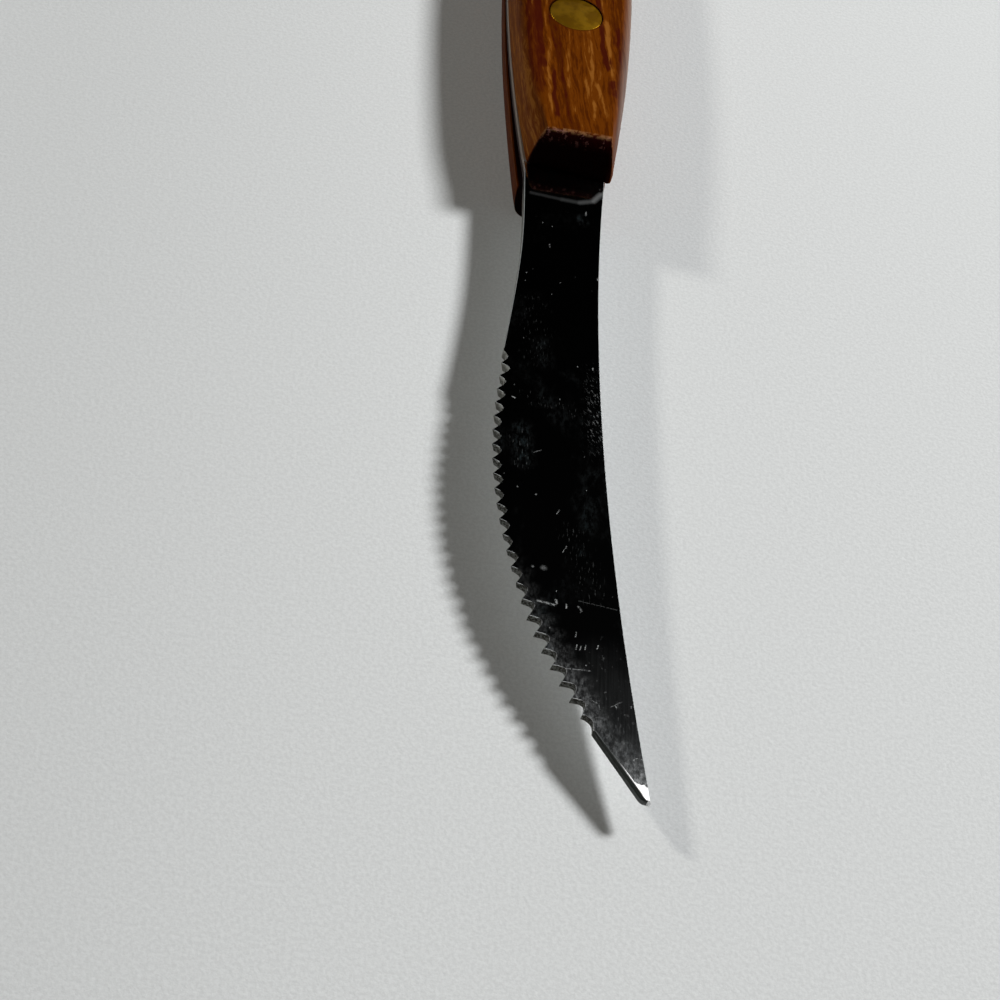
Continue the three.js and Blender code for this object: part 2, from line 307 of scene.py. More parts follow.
class BladeOutline:
    """The blade's plan: across is +X, along runs from the handle's front end to the tip."""

    def __init__(self, blade, handle):
        self.blade = blade
        self.front_half = handle.front_width / 2
        self.serration_end = blade.length - blade.tip_edge_run
        self.belly = -(self.front_half + blade.belly_reach)
        self.corner = Vector((self.spine(self.serration_end) - blade.tip_edge_width, self.serration_end))
        self.tip = Vector((self.spine(blade.length) - blade.tip_width, blade.length))
        run = self.serration_end - blade.belly_place
        rise = self.corner.x - self.belly
        self.belly_radius = (run**2 + rise**2) / (2 * rise)

    def spine(self, along):
        """Where the spine lies across the plan."""
        low = self.blade.spine_low
        start = self.front_half - self.blade.spine_step
        return start + ((along - low) ** 2 - low**2) / (2 * self.blade.spine_radius)

    def cutting_side(self, along):
        """Where the teeth's points lie across the plan."""
        if along < self.blade.belly_place:
            share = max(along, 0.0) / self.blade.belly_place
            return -self.front_half - self.blade.belly_reach * ease(share**self.blade.belly_ease, 0, 1)
        past = along - self.blade.belly_place
        return self.belly + self.belly_radius - math.sqrt(self.belly_radius**2 - past**2)

    def spine_opposite(self, point, slope, tries=8):
        """The spine's point on the line that stands square on the edge at a point."""
        along = point.y
        for _ in range(tries):
            along = point.y - (self.spine(along) - point.x) * slope
        return Vector((self.spine(along), along))

    def half_thickness(self, along):
        """Half the thickness of the tapered sheet."""
        share = clamp((along - self.blade.taper_start) / (self.blade.length - self.blade.taper_start))
        return mix(self.blade.stock, self.blade.tip_stock, share) / 2

    def turn(self, along):
        """How far the sheet has bent down at that place."""
        return max(along - self.blade.bend_start, 0.0) / self.blade.bend_radius

    def place(self, across, along, height):
        """The point at that place on the bent sheet, at a height over its middle."""
        turn = self.turn(along)
        radius = self.blade.bend_radius
        reach = min(along, self.blade.bend_start) + (radius + height) * math.sin(turn)
        middle = TANG_TOP - self.blade.stock / 2
        x = clamp(across, cad_low.x, cad_high.x)
        y = min(FRONT - reach, cad_high.y)
        return Vector((x, y, middle + (radius + height) * math.cos(turn) - radius))

    def direction(self, flat, along):
        """A direction of the plan, laid on the bent sheet."""
        turn = self.turn(along)
        return Vector((flat.x, -flat.y * math.cos(turn), -flat.y * math.sin(turn)))


class Rung(NamedTuple):
    """One cross-section of the blade: its edge and spine in the plan, and what lies there."""

    edge: Vector
    spine: Vector
    inward: Vector
    teeth: float = 0.0
    bevel: float = 0.0


def blade_rungs(outline, handle):
    """Cross-sections of the blade from the butt to the tip."""
    blade = outline.blade
    inward = Vector((1.0, 0.0))
    corner = butt_corner(handle)
    straight = handle.length - corner
    behinds = [straight + corner * math.sin(QUARTER_TURN * (1 - share)) for share in spread(BUTT_STEPS)[:-1]]
    behinds += [straight * (1 - share) for share in spread(TANG_STEPS)[:-1]]
    rungs = []
    for behind in behinds:
        side = handle_half_width(handle, behind)
        spine_side = mix(outline.spine(0), side, ease(behind, 0, blade.tang_blend))
        reach = blade.tang_reach * max(1 - behind / handle.widest_place, 0.0)
        rungs.append(Rung(Vector((-side - reach, -behind)), Vector((spine_side, -behind)), inward))
    for share in spread(HEEL_STEPS)[:-1]:
        along = blade.serration_start * share
        reach = blade.tang_reach * (1 - ease(share, 0, HEEL_FADE))
        edge = Vector((outline.cutting_side(along) - reach, along))
        rungs.append(Rung(edge, Vector((outline.spine(along), along)), inward))
    rungs += serrated_rungs(outline)
    run = (outline.tip - outline.corner).normalized()
    across_edge = Vector((run.y, -run.x))
    spine_from = rungs[-1].spine.y
    for share in spread(TIP_STEPS)[1:]:
        along = mix(spine_from, blade.length - blade.edge_round, share)
        blunt = rounded((1 - share) * blade.tip_edge_run, TIP_ROUND) * TIP_ROUND_SHARE
        edge = outline.corner.lerp(outline.tip, share) + across_edge * blunt
        spine = Vector((outline.spine(along), along))
        bevel = min(mix(blade.tip_bevel, blade.tip_end_bevel, share), WIDEST_BEVEL * (spine - edge).length)
        rungs.append(Rung(edge, spine, across_edge, 0.0, bevel))
    return rungs


def serrated_rungs(outline, steps_per_tooth=18, samples=2000):
    """Cross-sections at equal steps along the serrated edge, each with its count of teeth so far."""
    blade = outline.blade
    start, end = blade.serration_start, outline.serration_end
    alongs = [mix(start, end, share) for share in spread(samples)]
    points = [Vector((outline.cutting_side(along), along)) for along in alongs]
    lengths = [0.0]
    for point, following in zip(points, points[1:]):
        lengths.append(lengths[-1] + (following - point).length)
    teeth = round(lengths[-1] / blade.tooth_pitch)
    rungs = []
    at = 0
    for step in range(teeth * steps_per_tooth + 1):
        wanted = lengths[-1] * step / (teeth * steps_per_tooth)
        while at < samples - 1 and lengths[at + 1] < wanted:
            at += 1
        share = clamp((wanted - lengths[at]) / (lengths[at + 1] - lengths[at]))
        edge = points[at].lerp(points[at + 1], share)
        run = (points[at + 1] - points[at]).normalized()
        spine = outline.spine_opposite(edge, run.x / run.y)
        rungs.append(Rung(edge, spine, Vector((run.y, -run.x)), step / steps_per_tooth))
    return rungs


def blade_section(outline, rung):
    """A cross-section's points as plan place, height over the sheet's middle and marks for the finish."""
    blade, teeth = outline.blade, rung.teeth
    rounding = blade.edge_round
    serrated = ease(teeth, 0, 1) * (1 - ease(teeth, LAST_GULLET - 1, LAST_GULLET))
    at_point = 1 - abs(math.sin(math.pi * teeth))
    draft_share = serrated * at_point * mix(1.0, LAST_DRAFT, ease(teeth, *DRAFT_TURN))
    draft = rung.inward * blade.tooth_draft * draft_share
    top_edge = rung.edge + rung.inward * (rung.bevel + rounding)
    under_edge = rung.edge + draft + rung.inward * rounding
    spine_edge = rung.spine + (rung.edge - rung.spine).normalized() * rounding
    rim_share = min(blade.rim_width / (spine_edge - top_edge).length, WIDEST_RIM)
    shares = [0.0, *(mix(rim_share, 1.0, share**COLUMN_POWER) for share in spread(COLUMNS - 1))]
    lift = outline.half_thickness
    plain = 1.0 if rung.bevel else 0.0
    burr = ease(rung.edge.y, *BURR_RUN) * BURR * (1 - plain)
    at_end = ease(teeth, LAST_GULLET - LAST_GULLET_BLEND, LAST_GULLET + LAST_GULLET_BLEND)
    pull = mix(END_GULLET, 1.0, clamp(teeth / FIRST_TEETH)) * mix(1.0, END_GULLET, at_end)

    section = []
    for share in shares:
        point = top_edge.lerp(spine_edge, share)
        marks = {"edge_pull": pull * (1 - share), "edge_wear": wear_share(point, top_edge)}
        if share == 0:
            marks.update({"rim": burr, "plain_edge": plain})
        else:
            marks["ground_tip"] = ground_share(blade, point, top_edge)
        section.append((point, lift(point.y), marks))
    section.append((rung.spine, lift(rung.spine.y) - rounding, {"wall": SPINE_WALL}))
    section.append((rung.spine, rounding - lift(rung.spine.y), {"wall": SPINE_WALL}))
    for share in reversed(shares):
        point = under_edge.lerp(spine_edge, share)
        section.append((point, -lift(point.y), {"edge_pull": pull * (1 - share)}))
    cut_side = {"edge_pull": pull, "wall": 1.0, "plain_edge": plain}
    section.append((rung.edge + draft, rounding - lift(rung.edge.y), {**cut_side, "seam": 1.0}))
    section.append((rung.edge, lift(rung.edge.y) - rounding - rung.bevel * BEVEL_DROP, cut_side))
    return section


def gullet_direction(blade, rung):
    """The way a gullet is cut into the edge: inwards, leaning to the handle, most at the first teeth."""
    lean = blade.gullet_lean * mix(1.0, LAST_LEAN, clamp(rung.teeth / LEANING_TEETH))
    along_edge = Vector((-rung.inward.y, rung.inward.x))
    return rung.inward - along_edge * lean


def blade_mesh(outline, handle):
    """The blade with its tang, still without gullets, and the attributes that its tree and finish read."""
    bm = bmesh.new()
    names = ("edge_pull", "tooth_count", "wall", "seam", "plain_edge", "rim", "ground_tip", "edge_wear")
    layers = {name: bm.verts.layers.float.new(name) for name in names}
    inward = bm.verts.layers.float_vector.new("edge_inward")
    rings = []
    for rung in blade_rungs(outline, handle):
        ring = []
        for point, height, marks in blade_section(outline, rung):
            vertex = bm.verts.new(outline.place(point.x, point.y, height))
            vertex[inward] = outline.direction(gullet_direction(outline.blade, rung), rung.edge.y)
            for name, value in {**marks, "tooth_count": rung.teeth}.items():
                vertex[layers[name]] = value
            ring.append(vertex)
        rings.append(ring)
    rings.append([tip_end_vertex(bm, layers["ground_tip"], outline, vertex.co) for vertex in rings[-1]])
    join_rings(bm, rings)
    under = 2 * COLUMNS + 3
    for ring in (rings[0], rings[-1]):
        for i in range(COLUMNS):
            bm.faces.new((ring[i], ring[i + 1], ring[under - i - 1], ring[under - i]))
        bm.faces.new(ring[COLUMNS:COLUMNS + 4])
        bm.faces.new((ring[0], *ring[under:]))
    return mesh_from(bm, "blade_steel")


def tip_end_vertex(bm, ground, outline, place):
    """The vertex of the tip's end face that lies in front of a vertex of the last section."""
    end, rounding = outline.blade.length, outline.blade.edge_round
    middle = outline.place(0.0, end, 0.0)
    forward = outline.direction(Vector((0.0, 1.0)), end) * rounding
    flatter = mix(place.z, middle.z, rounding / outline.half_thickness(end))
    vertex = bm.verts.new(Vector((place.x, place.y, flatter)) + forward)
    vertex[ground] = 1.0
    return vertex


def join_rings(bm, rings):
    """Faces between closed rings of vertices, one ring to the next."""
    for first, second in zip(rings, rings[1:]):
        for i, vertex in enumerate(first):
            j = (i + 1) % len(first)
            bm.faces.new((vertex, first[j], second[j], second[i]))


def wear_share(point, edge):
    """How rubbed the polished face is: most beside the teeth near the tip."""
    lower = ease(point.y, *LOWER_RUN)
    start, upper_width, lower_width = RUBBED_WIDTHS
    near_edge = 1 - ease((point - edge).length, start, mix(upper_width, lower_width, lower))
    beside_teeth = ease(point.y, *RUBBED_RUN) * (1 - END_LOSS * ease(point.y, *RUBBED_END))
    return near_edge * mix(UPPER_RUB, 1.0, lower) * beside_teeth


def ground_share(blade, point, edge):
    """How bright the steel is ground: full on the tip's ragged patch, rising on a fine line at the edge."""
    from_edge = (point - edge).length
    ragged = RAGGED_DEPTH * noise.noise(Vector((point.x, point.y, 0.0)) * RAGGED_SCALE)
    patch = ease(point.y - blade.ground_start - from_edge / 2 + ragged, -PATCH_BLEND, PATCH_BLEND)
    rising = ease(point.y, blade.burnish_start, blade.ground_start)
    return max(patch, rising * (1 - ease(from_edge, *BURNISH_FADE)))


# Numbers of sections along a scale, most of them where the photograph shows it, and of rows on its ends.
VISIBLE = 46 * MM
VISIBLE_STEPS = 110
VISIBLE_POWER = 1.15
STRAIGHT_STEPS = 44
CORNER_STEPS = 14
END_ROWS = (0.13, 0.27, 0.41, 0.55, 0.67, 0.77, 0.84, 0.89, 0.92, 0.945, 0.965, 0.98, 0.992)

# Small forms of a scale: its foot, shoulders and crown, the upper end's lead, and the worn, torn ends.
FOOT = 0.1 * MM
WIDEST_SHOULDER = 0.7
SHOULDER_SPACING = 1.6
CROWN_START = 0.6
UPPER_FOOT_LEAD = 0.25 * MM
END_WEAR_RUN = 2 * MM
COARSE_TEAR = 0.06 * MM
FINE_TEAR = 0.05 * MM

# Widths and strengths of the marks that a scale's finish reads.
SEAM_EDGE = (0.1 * MM, 0.3 * MM)
ON_TOP = (0.4, 1.0)
ON_SHOULDER = (0.3, 0.65)
WORN_BAND = 0.2 * MM
WORN_FADE = (0.2 * MM, 0.5 * MM)
FACE_WEAR = 0.5
LOWER_WEAR = 0.3
LOWER_DARK_SHARE = 0.4
# Painted light on the upper scale's teeth-side flank, which turns away from the strong lamp: its strength at
# the front and the rear, and its width.
FRONT_FLANK_LIGHT = 0.85
REAR_FLANK_LIGHT = 0.9
FRONT_FLANK_EXTRA = 0.8 * MM
REAR_FLANK_WIDTH = 1.4 * MM
# Painted sheen on the upper scale's spine-side shoulder, standing in for the varnish's grazing reflection:
# its width as a share of the shoulder, and its strength.
SHEEN_WIDTH = 0.56
SHEEN_STRENGTH = 0.4

# The streaks' fade at their ends and their waver in millimetres, and their width as shares of the half width.
STREAK_FADE = 2
STREAK_WAVER = 0.2
STREAK_WIDTH = 0.95
STREAK_SWELL = 0.3
STREAK_CORE = 0.2
STREAK_RIM = 1.3

# Streaks of the upper face: points in millimetres across and behind the front, half width, strength.
DARK_STREAKS = (
    (((-5.7, 38), (-5.5, 31), (-5.3, 27), (-5.0, 22), (-4.6, 17), (-4.7, 12)), 0.48, 0.9),
    (((-6.6, 38), (-6.2, 28), (-5.7, 18), (-5.2, 8)), 1.3, 0.62),
    (((-3.2, 17), (-3.2, 12), (-3.1, 8), (-2.8, 5), (-2.6, 2.5)), 0.38, 0.95),
    (((-2.9, 5.5), (-2.7, 4), (-2.6, 2.5)), 0.65, 1.0),
    (((3.2, 38), (3.6, 30), (3.9, 26), (4.0, 22), (4.4, 19.5), (5.0, 17), (5.6, 13), (5.7, 10)), 0.5, 1.0),
    (((3.9, 24), (4.3, 20), (4.8, 17.5)), 0.7, 1.0),
    (((6.3, 30), (6.2, 25), (6.6, 19)), 0.4, 0.8),
    (((-7.2, 36), (-7.0, 26), (-6.6, 18), (-6.2, 8)), 0.4, 0.8),
)
PALE_STREAKS = (
    (((-4.5, 36), (-4.4, 27), (-3.9, 22), (-4.0, 16), (-3.7, 8), (-3.4, 4)), 0.42, 1.0),
    (((-1.2, 27), (-1.3, 15), (-0.6, 9), (-0.5, 4)), 0.4, 1.0),
    (((1.7, 28), (2.3, 20), (2.3, 14)), 0.38, 1.0),
    (((0.9, 17), (1.6, 12), (1.4, 8)), 0.35, 1.0),
    (((2.7, 15), (3.9, 8), (4.3, 4)), 0.38, 1.0),
    (((2.6, 10), (2.3, 2.5)), 0.35, 1.0),
    (((4.6, 30), (4.7, 23), (5.3, 19.5), (6.0, 15)), 0.46, 0.9),
)


def streak_share(streaks, across, behind):
    """How much of a streak lies at that place of the upper face."""
    share = 0.0
    for points, width, strength in streaks:
        ends = [point[1] for point in points]
        for (x0, y0), (x1, y1) in zip(points, points[1:]):
            if min(y0, y1) <= behind <= max(y0, y1):
                centre = mix(x0, x1, (behind - y0) / (y1 - y0))
                fade = ease(min(behind - min(ends), max(ends) - behind), 0, STREAK_FADE)
                waver = STREAK_WAVER * noise.noise(Vector((width * 9, behind * 0.5, 2)))
                swell = STREAK_SWELL * noise.noise(Vector((behind * 0.6, width * 7, 4)))
                half = width * (STREAK_WIDTH + swell)
                beside = abs(across - centre - waver)
                inside = 1 - ease(beside, half * STREAK_CORE, half * STREAK_RIM)
                share = max(share, strength * fade * inside)
    return share


def scale_outline(handle, behind, upper, shoulder_steps=18, columns=64):
    """The outer line of a scale's section as (across, rise), from the teeth side over to the spine side."""
    half = handle_half_width(handle, behind)
    blend = ease(behind, 0, handle.front_blend) if upper else 1.0
    power = 2 / mix(handle.front_power, handle.shoulder_power, blend)
    roll = max(behind - (handle.length - handle.butt_roll), 0.0) / handle.butt_roll
    height = handle.thickness - handle.butt_drop * (1 - math.sqrt(max(1 - roll**2, 0.0)))
    shoulders = []
    for front_inset in (handle.front_teeth_inset, handle.front_spine_inset):
        inset = min(mix(front_inset, handle.shoulder, blend), half * WIDEST_SHOULDER)
        line = [(half, 0.0), (half, FOOT)]
        for share in spread(shoulder_steps)[1:]:
            turn = QUARTER_TURN * share**SHOULDER_SPACING
            rise = max(height * math.sin(turn) ** power, FOOT)
            line.append((half - inset + inset * abs(math.cos(turn)) ** power, rise))
        shoulders.append(line)
    left = [(-across, rise) for across, rise in shoulders[0]]
    right = shoulders[1][::-1]
    top = [(mix(left[-1][0], right[0][0], share), height) for share in spread(columns)[1:-1]]

    def crowned(across, rise):
        return rise - handle.crown * (across / half) ** 2 * ease(rise / height, CROWN_START, 1)

    return [(across, crowned(across, rise)) for across, rise in left + top + right]


def scale_point(handle, behind, across, rise, upper):
    """Where a point of a scale's section lies in the frame."""
    near_front = max(1 - behind / handle.front_blend, 0.0)
    if upper:
        skew = UPPER_FOOT_LEAD - handle.upper_skew * across / (handle.front_width / 2)
        askew = mix(skew, handle.upper_slant, rise / handle.thickness)
        x, y, z = across, FRONT + behind + askew * near_front, TANG_TOP + rise
    else:
        front_half = max(1 - behind / handle.widest_place, 0.0)
        x = across - handle.lower_shift * front_half
        y, z = FRONT + behind - handle.lower_lead * near_front, handle.thickness - rise
    return Vector((clamp(x, cad_low.x, cad_high.x), min(y, cad_high.y), z))


def surface_places(line):
    """Places along a section's outer line, measured over its surface from the middle."""
    places = [0.0]
    for (across, rise), (next_across, next_rise) in zip(line, line[1:]):
        places.append(places[-1] + math.hypot(next_across - across, next_rise - rise))
    return [place - places[-1] / 2 for place in places]


class ScaleBuilder:
    """Builds one wooden scale with worn end edges, rough ends and the attributes that its finish reads."""

    MARKS = ("end_grain", "worn_edge", "dark_streak", "pale_streak", "faded", "grain_across")

    def __init__(self, handle, upper):
        self.handle = handle
        self.upper = upper
        self.bm = bmesh.new()
        self.layers = {name: self.bm.verts.layers.float.new(name) for name in self.MARKS}

    def vertex(self, behind, across, top, share):
        """A vertex at a share of the height of the section's outer line at that place."""
        handle = self.handle
        at_front = behind < handle.widest_place
        from_end = behind if at_front else handle.length - behind
        depth = rounded(top * (1 - share), handle.worn_edge)
        if self.upper and at_front:
            depth = max(depth, rounded(handle_half_width(handle, behind) - across, handle.soft_corner))
        depth *= max(1 - from_end / END_WEAR_RUN, 0.0)
        point = scale_point(handle, behind, across, top * share, self.upper)
        if 0 < share < 1:
            depth += COARSE_TEAR * (1 + noise.noise(Vector((point.x * 1500, point.z * 900, 3.0))))
            depth += FINE_TEAR * noise.noise(Vector((point.x * 5200, point.z * 2600, 7.0)))
        point.y += depth if at_front else -abs(depth)
        vertex = self.bm.verts.new(point)
        for name, value in self.marks(behind, across, top, share).items():
            vertex[self.layers[name]] = value
        return vertex

    def marks(self, behind, across, top, share):
        """How much of each mark of the finish lies at a vertex."""
        handle = self.handle
        half = handle_half_width(handle, behind)
        marks = {"grain_across": across}
        if share == 0:
            return {**marks, "end_grain": ease(half - abs(across), *SEAM_EDGE)}
        strength = ease(top / handle.thickness, *ON_TOP) * (1.0 if self.upper else LOWER_WEAR)
        if share < 1:
            if behind > handle.widest_place:
                return marks
            below_line = top * (1 - share)
            worn = strength * (1 - ease(below_line, *WORN_FADE))
            return {**marks, "end_grain": ease(below_line, 0.0, WORN_BAND), "worn_edge": worn}
        marks["worn_edge"] = FACE_WEAR * strength * (1 - ease(behind, 0.0, WORN_BAND))
        if not self.upper:
            # The lower scale's outside takes a share of the dark streaks all over, so it is darker than the
            # upper one.
            return {**marks, "dark_streak": LOWER_DARK_SHARE}
        # Painted light: the teeth-side flank is painted paler and without dark streaks, so it looks as bright
        # as the top though it turns away from the strong lamp.
        blend = ease(behind, 0, handle.front_blend)
        flank_width = mix(handle.front_teeth_inset + FRONT_FLANK_EXTRA, REAR_FLANK_WIDTH, blend)
        on_flank = 1 - ease(half + across, flank_width / 2, flank_width)
        flank_light = mix(FRONT_FLANK_LIGHT, REAR_FLANK_LIGHT, blend) * on_flank
        # Painted sheen along the spine-side shoulder, standing in for the varnish's grazing reflection.
        chalk_width = SHEEN_WIDTH * mix(handle.front_spine_inset, handle.shoulder, blend)
        on_shoulder = ease(top / handle.thickness, *ON_SHOULDER)
        marks["dark_streak"] = streak_share(DARK_STREAKS, across / MM, behind / MM) * (1 - flank_light)
        marks["pale_streak"] = max(streak_share(PALE_STREAKS, across / MM, behind / MM), flank_light)
        marks["faded"] = SHEEN_STRENGTH * (1 - ease(half - across, 0.0, chalk_width)) * on_shoulder
        return marks

    def ring(self, behind):
        """The vertices of one section: those of the outer line and those under them on the tang's side."""
        line = scale_outline(self.handle, behind, self.upper)
        outer = [self.vertex(behind, across, top, 1.0) for across, top in line]
        for vertex, place in zip(outer, surface_places(line)):
            vertex[self.layers["grain_across"]] = place
        half = line[-1][0]
        columns = [mix(-half, half, share) for share in spread(len(line) - 1)]
        inner = [self.vertex(behind, across, 0.0, 0.0) for across in columns[1:-1]]
        return columns, line, outer, [outer[0], *inner, outer[-1]]

    def cap(self, behind, columns, line, outer, inner):
        """Closes an end with a grid from the tang's side up to the outer line."""
        grid = []
        for under, (across, top), high, low in zip(columns, line, outer, inner):
            if high is low:
                grid.append([low] * (len(END_ROWS) + 2))
                continue
            between = [self.vertex(behind, mix(under, across, share), top, share) for share in END_ROWS]
            grid.append([low, *between, high])
        for first, second in zip(grid, grid[1:]):
            for k in range(len(END_ROWS) + 1):
                corners = dict.fromkeys((first[k], second[k], second[k + 1], first[k + 1]))
                self.bm.faces.new(list(corners))

    def mesh(self, name):
        """The closed mesh of the scale, from its front end to the butt."""
        end = self.handle.length
        straight = end - butt_corner(self.handle)
        behinds = [VISIBLE * share**VISIBLE_POWER for share in spread(VISIBLE_STEPS)]
        behinds += [mix(VISIBLE, straight, share) for share in spread(STRAIGHT_STEPS)[1:]]
        behinds += [mix(straight, end, math.sin(QUARTER_TURN * share)) for share in spread(CORNER_STEPS)[1:]]
        sections = [self.ring(behind) for behind in behinds]
        join_rings(self.bm, [outer + inner[-2:0:-1] for columns, line, outer, inner in sections])
        self.cap(behinds[0], *sections[0])
        self.cap(behinds[-1], *sections[-1])
        return mesh_from(self.bm, name)


def mesh_from(bm, name):
    """Ends a bmesh: faces outwards, smooth where the surface is smooth."""
    bmesh.ops.recalc_face_normals(bm, faces=bm.faces)
    mesh = bpy.data.meshes.new(name)
    bm.to_mesh(mesh)
    bm.free()
    mesh.shade_smooth()
    mesh.set_sharp_from_angle(angle=SHARP_ANGLE)
    return mesh


def turned_mesh(name, profile, segments=96):
    """A turned piece from its profile of (radius, height), which starts on the axis."""
    bm = bmesh.new()
    # Half a step of turn keeps the vertices off the middle plane, where the scales have vertices too.
    turns = [math.tau * (i + 0.5) / segments for i in range(segments)]
    rings = []
    for radius, height in profile:
        if radius:
            places = [(radius * math.cos(turn), radius * math.sin(turn), height) for turn in turns]
            ring = [bm.verts.new(place) for place in places]
        else:
            ring = [bm.verts.new((0, 0, height))] * segments
        rings.append(ring)
    for first, second in zip(rings, rings[1:]):
        for i in range(segments):
            j = (i + 1) % segments
            face = list(dict.fromkeys((first[i], first[j], second[j], second[i])))
            if len(face) > 2:
                bm.faces.new(face)
    return mesh_from(bm, name)


def add_object(name, data):
    thing = bpy.data.objects.new(name, data)
    bpy.context.scene.collection.objects.link(thing)
    return thing


def settle(thing):
    """Turns an object's live modifiers into a plain mesh."""
    graph = bpy.context.evaluated_depsgraph_get()
    mesh = bpy.data.meshes.new_from_object(
        thing.evaluated_get(graph), preserve_all_data_layers=True, depsgraph=graph
    )
    thing.modifiers.clear()
    old = thing.data
    thing.data = mesh
    bpy.data.meshes.remove(old)
    mesh.name = thing.name
    return thing


def cut(thing, cutters):
    """Cuts holes with turned solids, which are removed afterwards."""
    for cutter in cutters:
        modifier = thing.modifiers.new("hole", "BOOLEAN")
        modifier.operation = "DIFFERENCE"
        modifier.solver = "EXACT"
        modifier.object = cutter
    settle(thing)
    thing.data.set_sharp_from_angle(angle=SHARP_ANGLE)
    for cutter in cutters:
        mesh = cutter.data
        bpy.data.objects.remove(cutter)
        bpy.data.meshes.remove(mesh)


def finish_piece(thing, material, slot, *nodes):
    """Gives a piece its finish and lets it stand for its CAD nodes."""
    thing.data.materials.clear()
    thing.data.materials.append(material)
    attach(thing, BODY)
    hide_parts(*nodes)


class Value:
    """A node's output. Arithmetic with it adds nodes to the same tree."""

    def __init__(self, graph, socket):
        self.graph = graph
        self.socket = socket

    def sibling(self, name):
        """Another output of the same node."""
        return Value(self.graph, self.socket.node.outputs[name])

    def math(self, operation, other=0.0, clamped=False):
        inputs = {0: self, 1: other}
        return self.graph.add("ShaderNodeMath", inputs, operation=operation, use_clamp=clamped)

    def __add__(self, other):
        return self.math("ADD", other)

    def __sub__(self, other):
        return self.math("SUBTRACT", other)

    def __mul__(self, other):
        return self.math("MULTIPLY", other)

    def left(self):
        """What is left of 1."""
        return self.graph.add("ShaderNodeMath", {0: 1.0, 1: self}, operation="SUBTRACT", use_clamp=True)

    def most(self, *others):
        """The greatest of this value and the others."""
        value = self
        for other in others:
            value = value.math("MAXIMUM", other)
        return value

    def ramp(self, low, high, to_low=0.0, to_high=1.0):
        """A smooth change from one number to the other while this value goes from low to high."""
        inputs = {"Value": self, "From Min": low, "From Max": high, "To Min": to_low, "To Max": to_high}
        return self.graph.add("ShaderNodeMapRange", inputs, interpolation_type="SMOOTHSTEP")

    def vector(self, operation, other=(0.0, 0.0, 0.0), output="Vector"):
        return self.graph.add("ShaderNodeVectorMath", {0: self, 1: other}, output, operation=operation)

    def times(self, scale):
        """This vector, made longer or shorter."""
        return self.graph.add("ShaderNodeVectorMath", {0: self, "Scale": scale}, operation="SCALE")


class Graph:
    """A node tree, with short ways to add nodes to it."""

    def __init__(self, tree):
        self.tree = tree

    def fill(self, socket, value):
        """Links a value to a socket, or writes a constant into it."""
        if isinstance(value, Value):
            self.tree.links.new(value.socket, socket)
        else:
            socket.default_value = value

    def add(self, kind, inputs=None, output=0, **settings):
        """Adds a node with its settings and inputs, and gives one of its outputs."""
        node = self.tree.nodes.new(kind)
        for name, value in settings.items():
            setattr(node, name, value)
        for key, value in (inputs or {}).items():
            self.fill(node.inputs[key], value)
        return Value(self, node.outputs[output])

    def blend(self, share, first, second):
        """A mix of two colours, each a value or three numbers."""
        inputs = {0: share}
        for socket, colour in ((6, first), (7, second)):
            inputs[socket] = colour if isinstance(colour, Value) else (*colour, 1.0)
        return self.add("ShaderNodeMix", inputs, 2, data_type="RGBA")

    def scaled(self, vector, scale, turn=0.0):
        return self.add("ShaderNodeMapping", {"Vector": vector, "Scale": scale, "Rotation": (0.0, 0.0, turn)})

    def cloud(self, vector, scale, detail=3.0, rough=0.5):
        """Noise of one scale, or stretched by a scale for each axis."""
        if isinstance(scale, tuple):
            vector, scale = self.scaled(vector, scale), 1.0
        inputs = {"Vector": vector, "Scale": scale, "Detail": detail, "Roughness": rough}
        return self.add("ShaderNodeTexNoise", inputs, "Fac")

    def mark(self, name):
        """An attribute of the mesh."""
        return self.add("ShaderNodeAttribute", output="Fac", attribute_name=name)


class Finish(Graph):
    """A material's tree with its Principled shader and the place on the object."""

    def __init__(self, name):
        self.material = bpy.data.materials.new(name)
        self.material.use_nodes = True
        super().__init__(self.material.node_tree)
        self.shader = self.tree.nodes["Principled BSDF"]
        self.place = self.add("ShaderNodeTexCoord", output="Object")

    def complete(self, strength, depth, height, **inputs):
        """Gives the shader a bump and its other inputs, and ends the material."""
        bump = self.add("ShaderNodeBump", {"Strength": strength, "Distance": depth, "Height": height})
        for name, value in {**inputs, "Normal": bump}.items():
            self.fill(self.shader.inputs[name.replace("_", " ")], value)
        return self.material


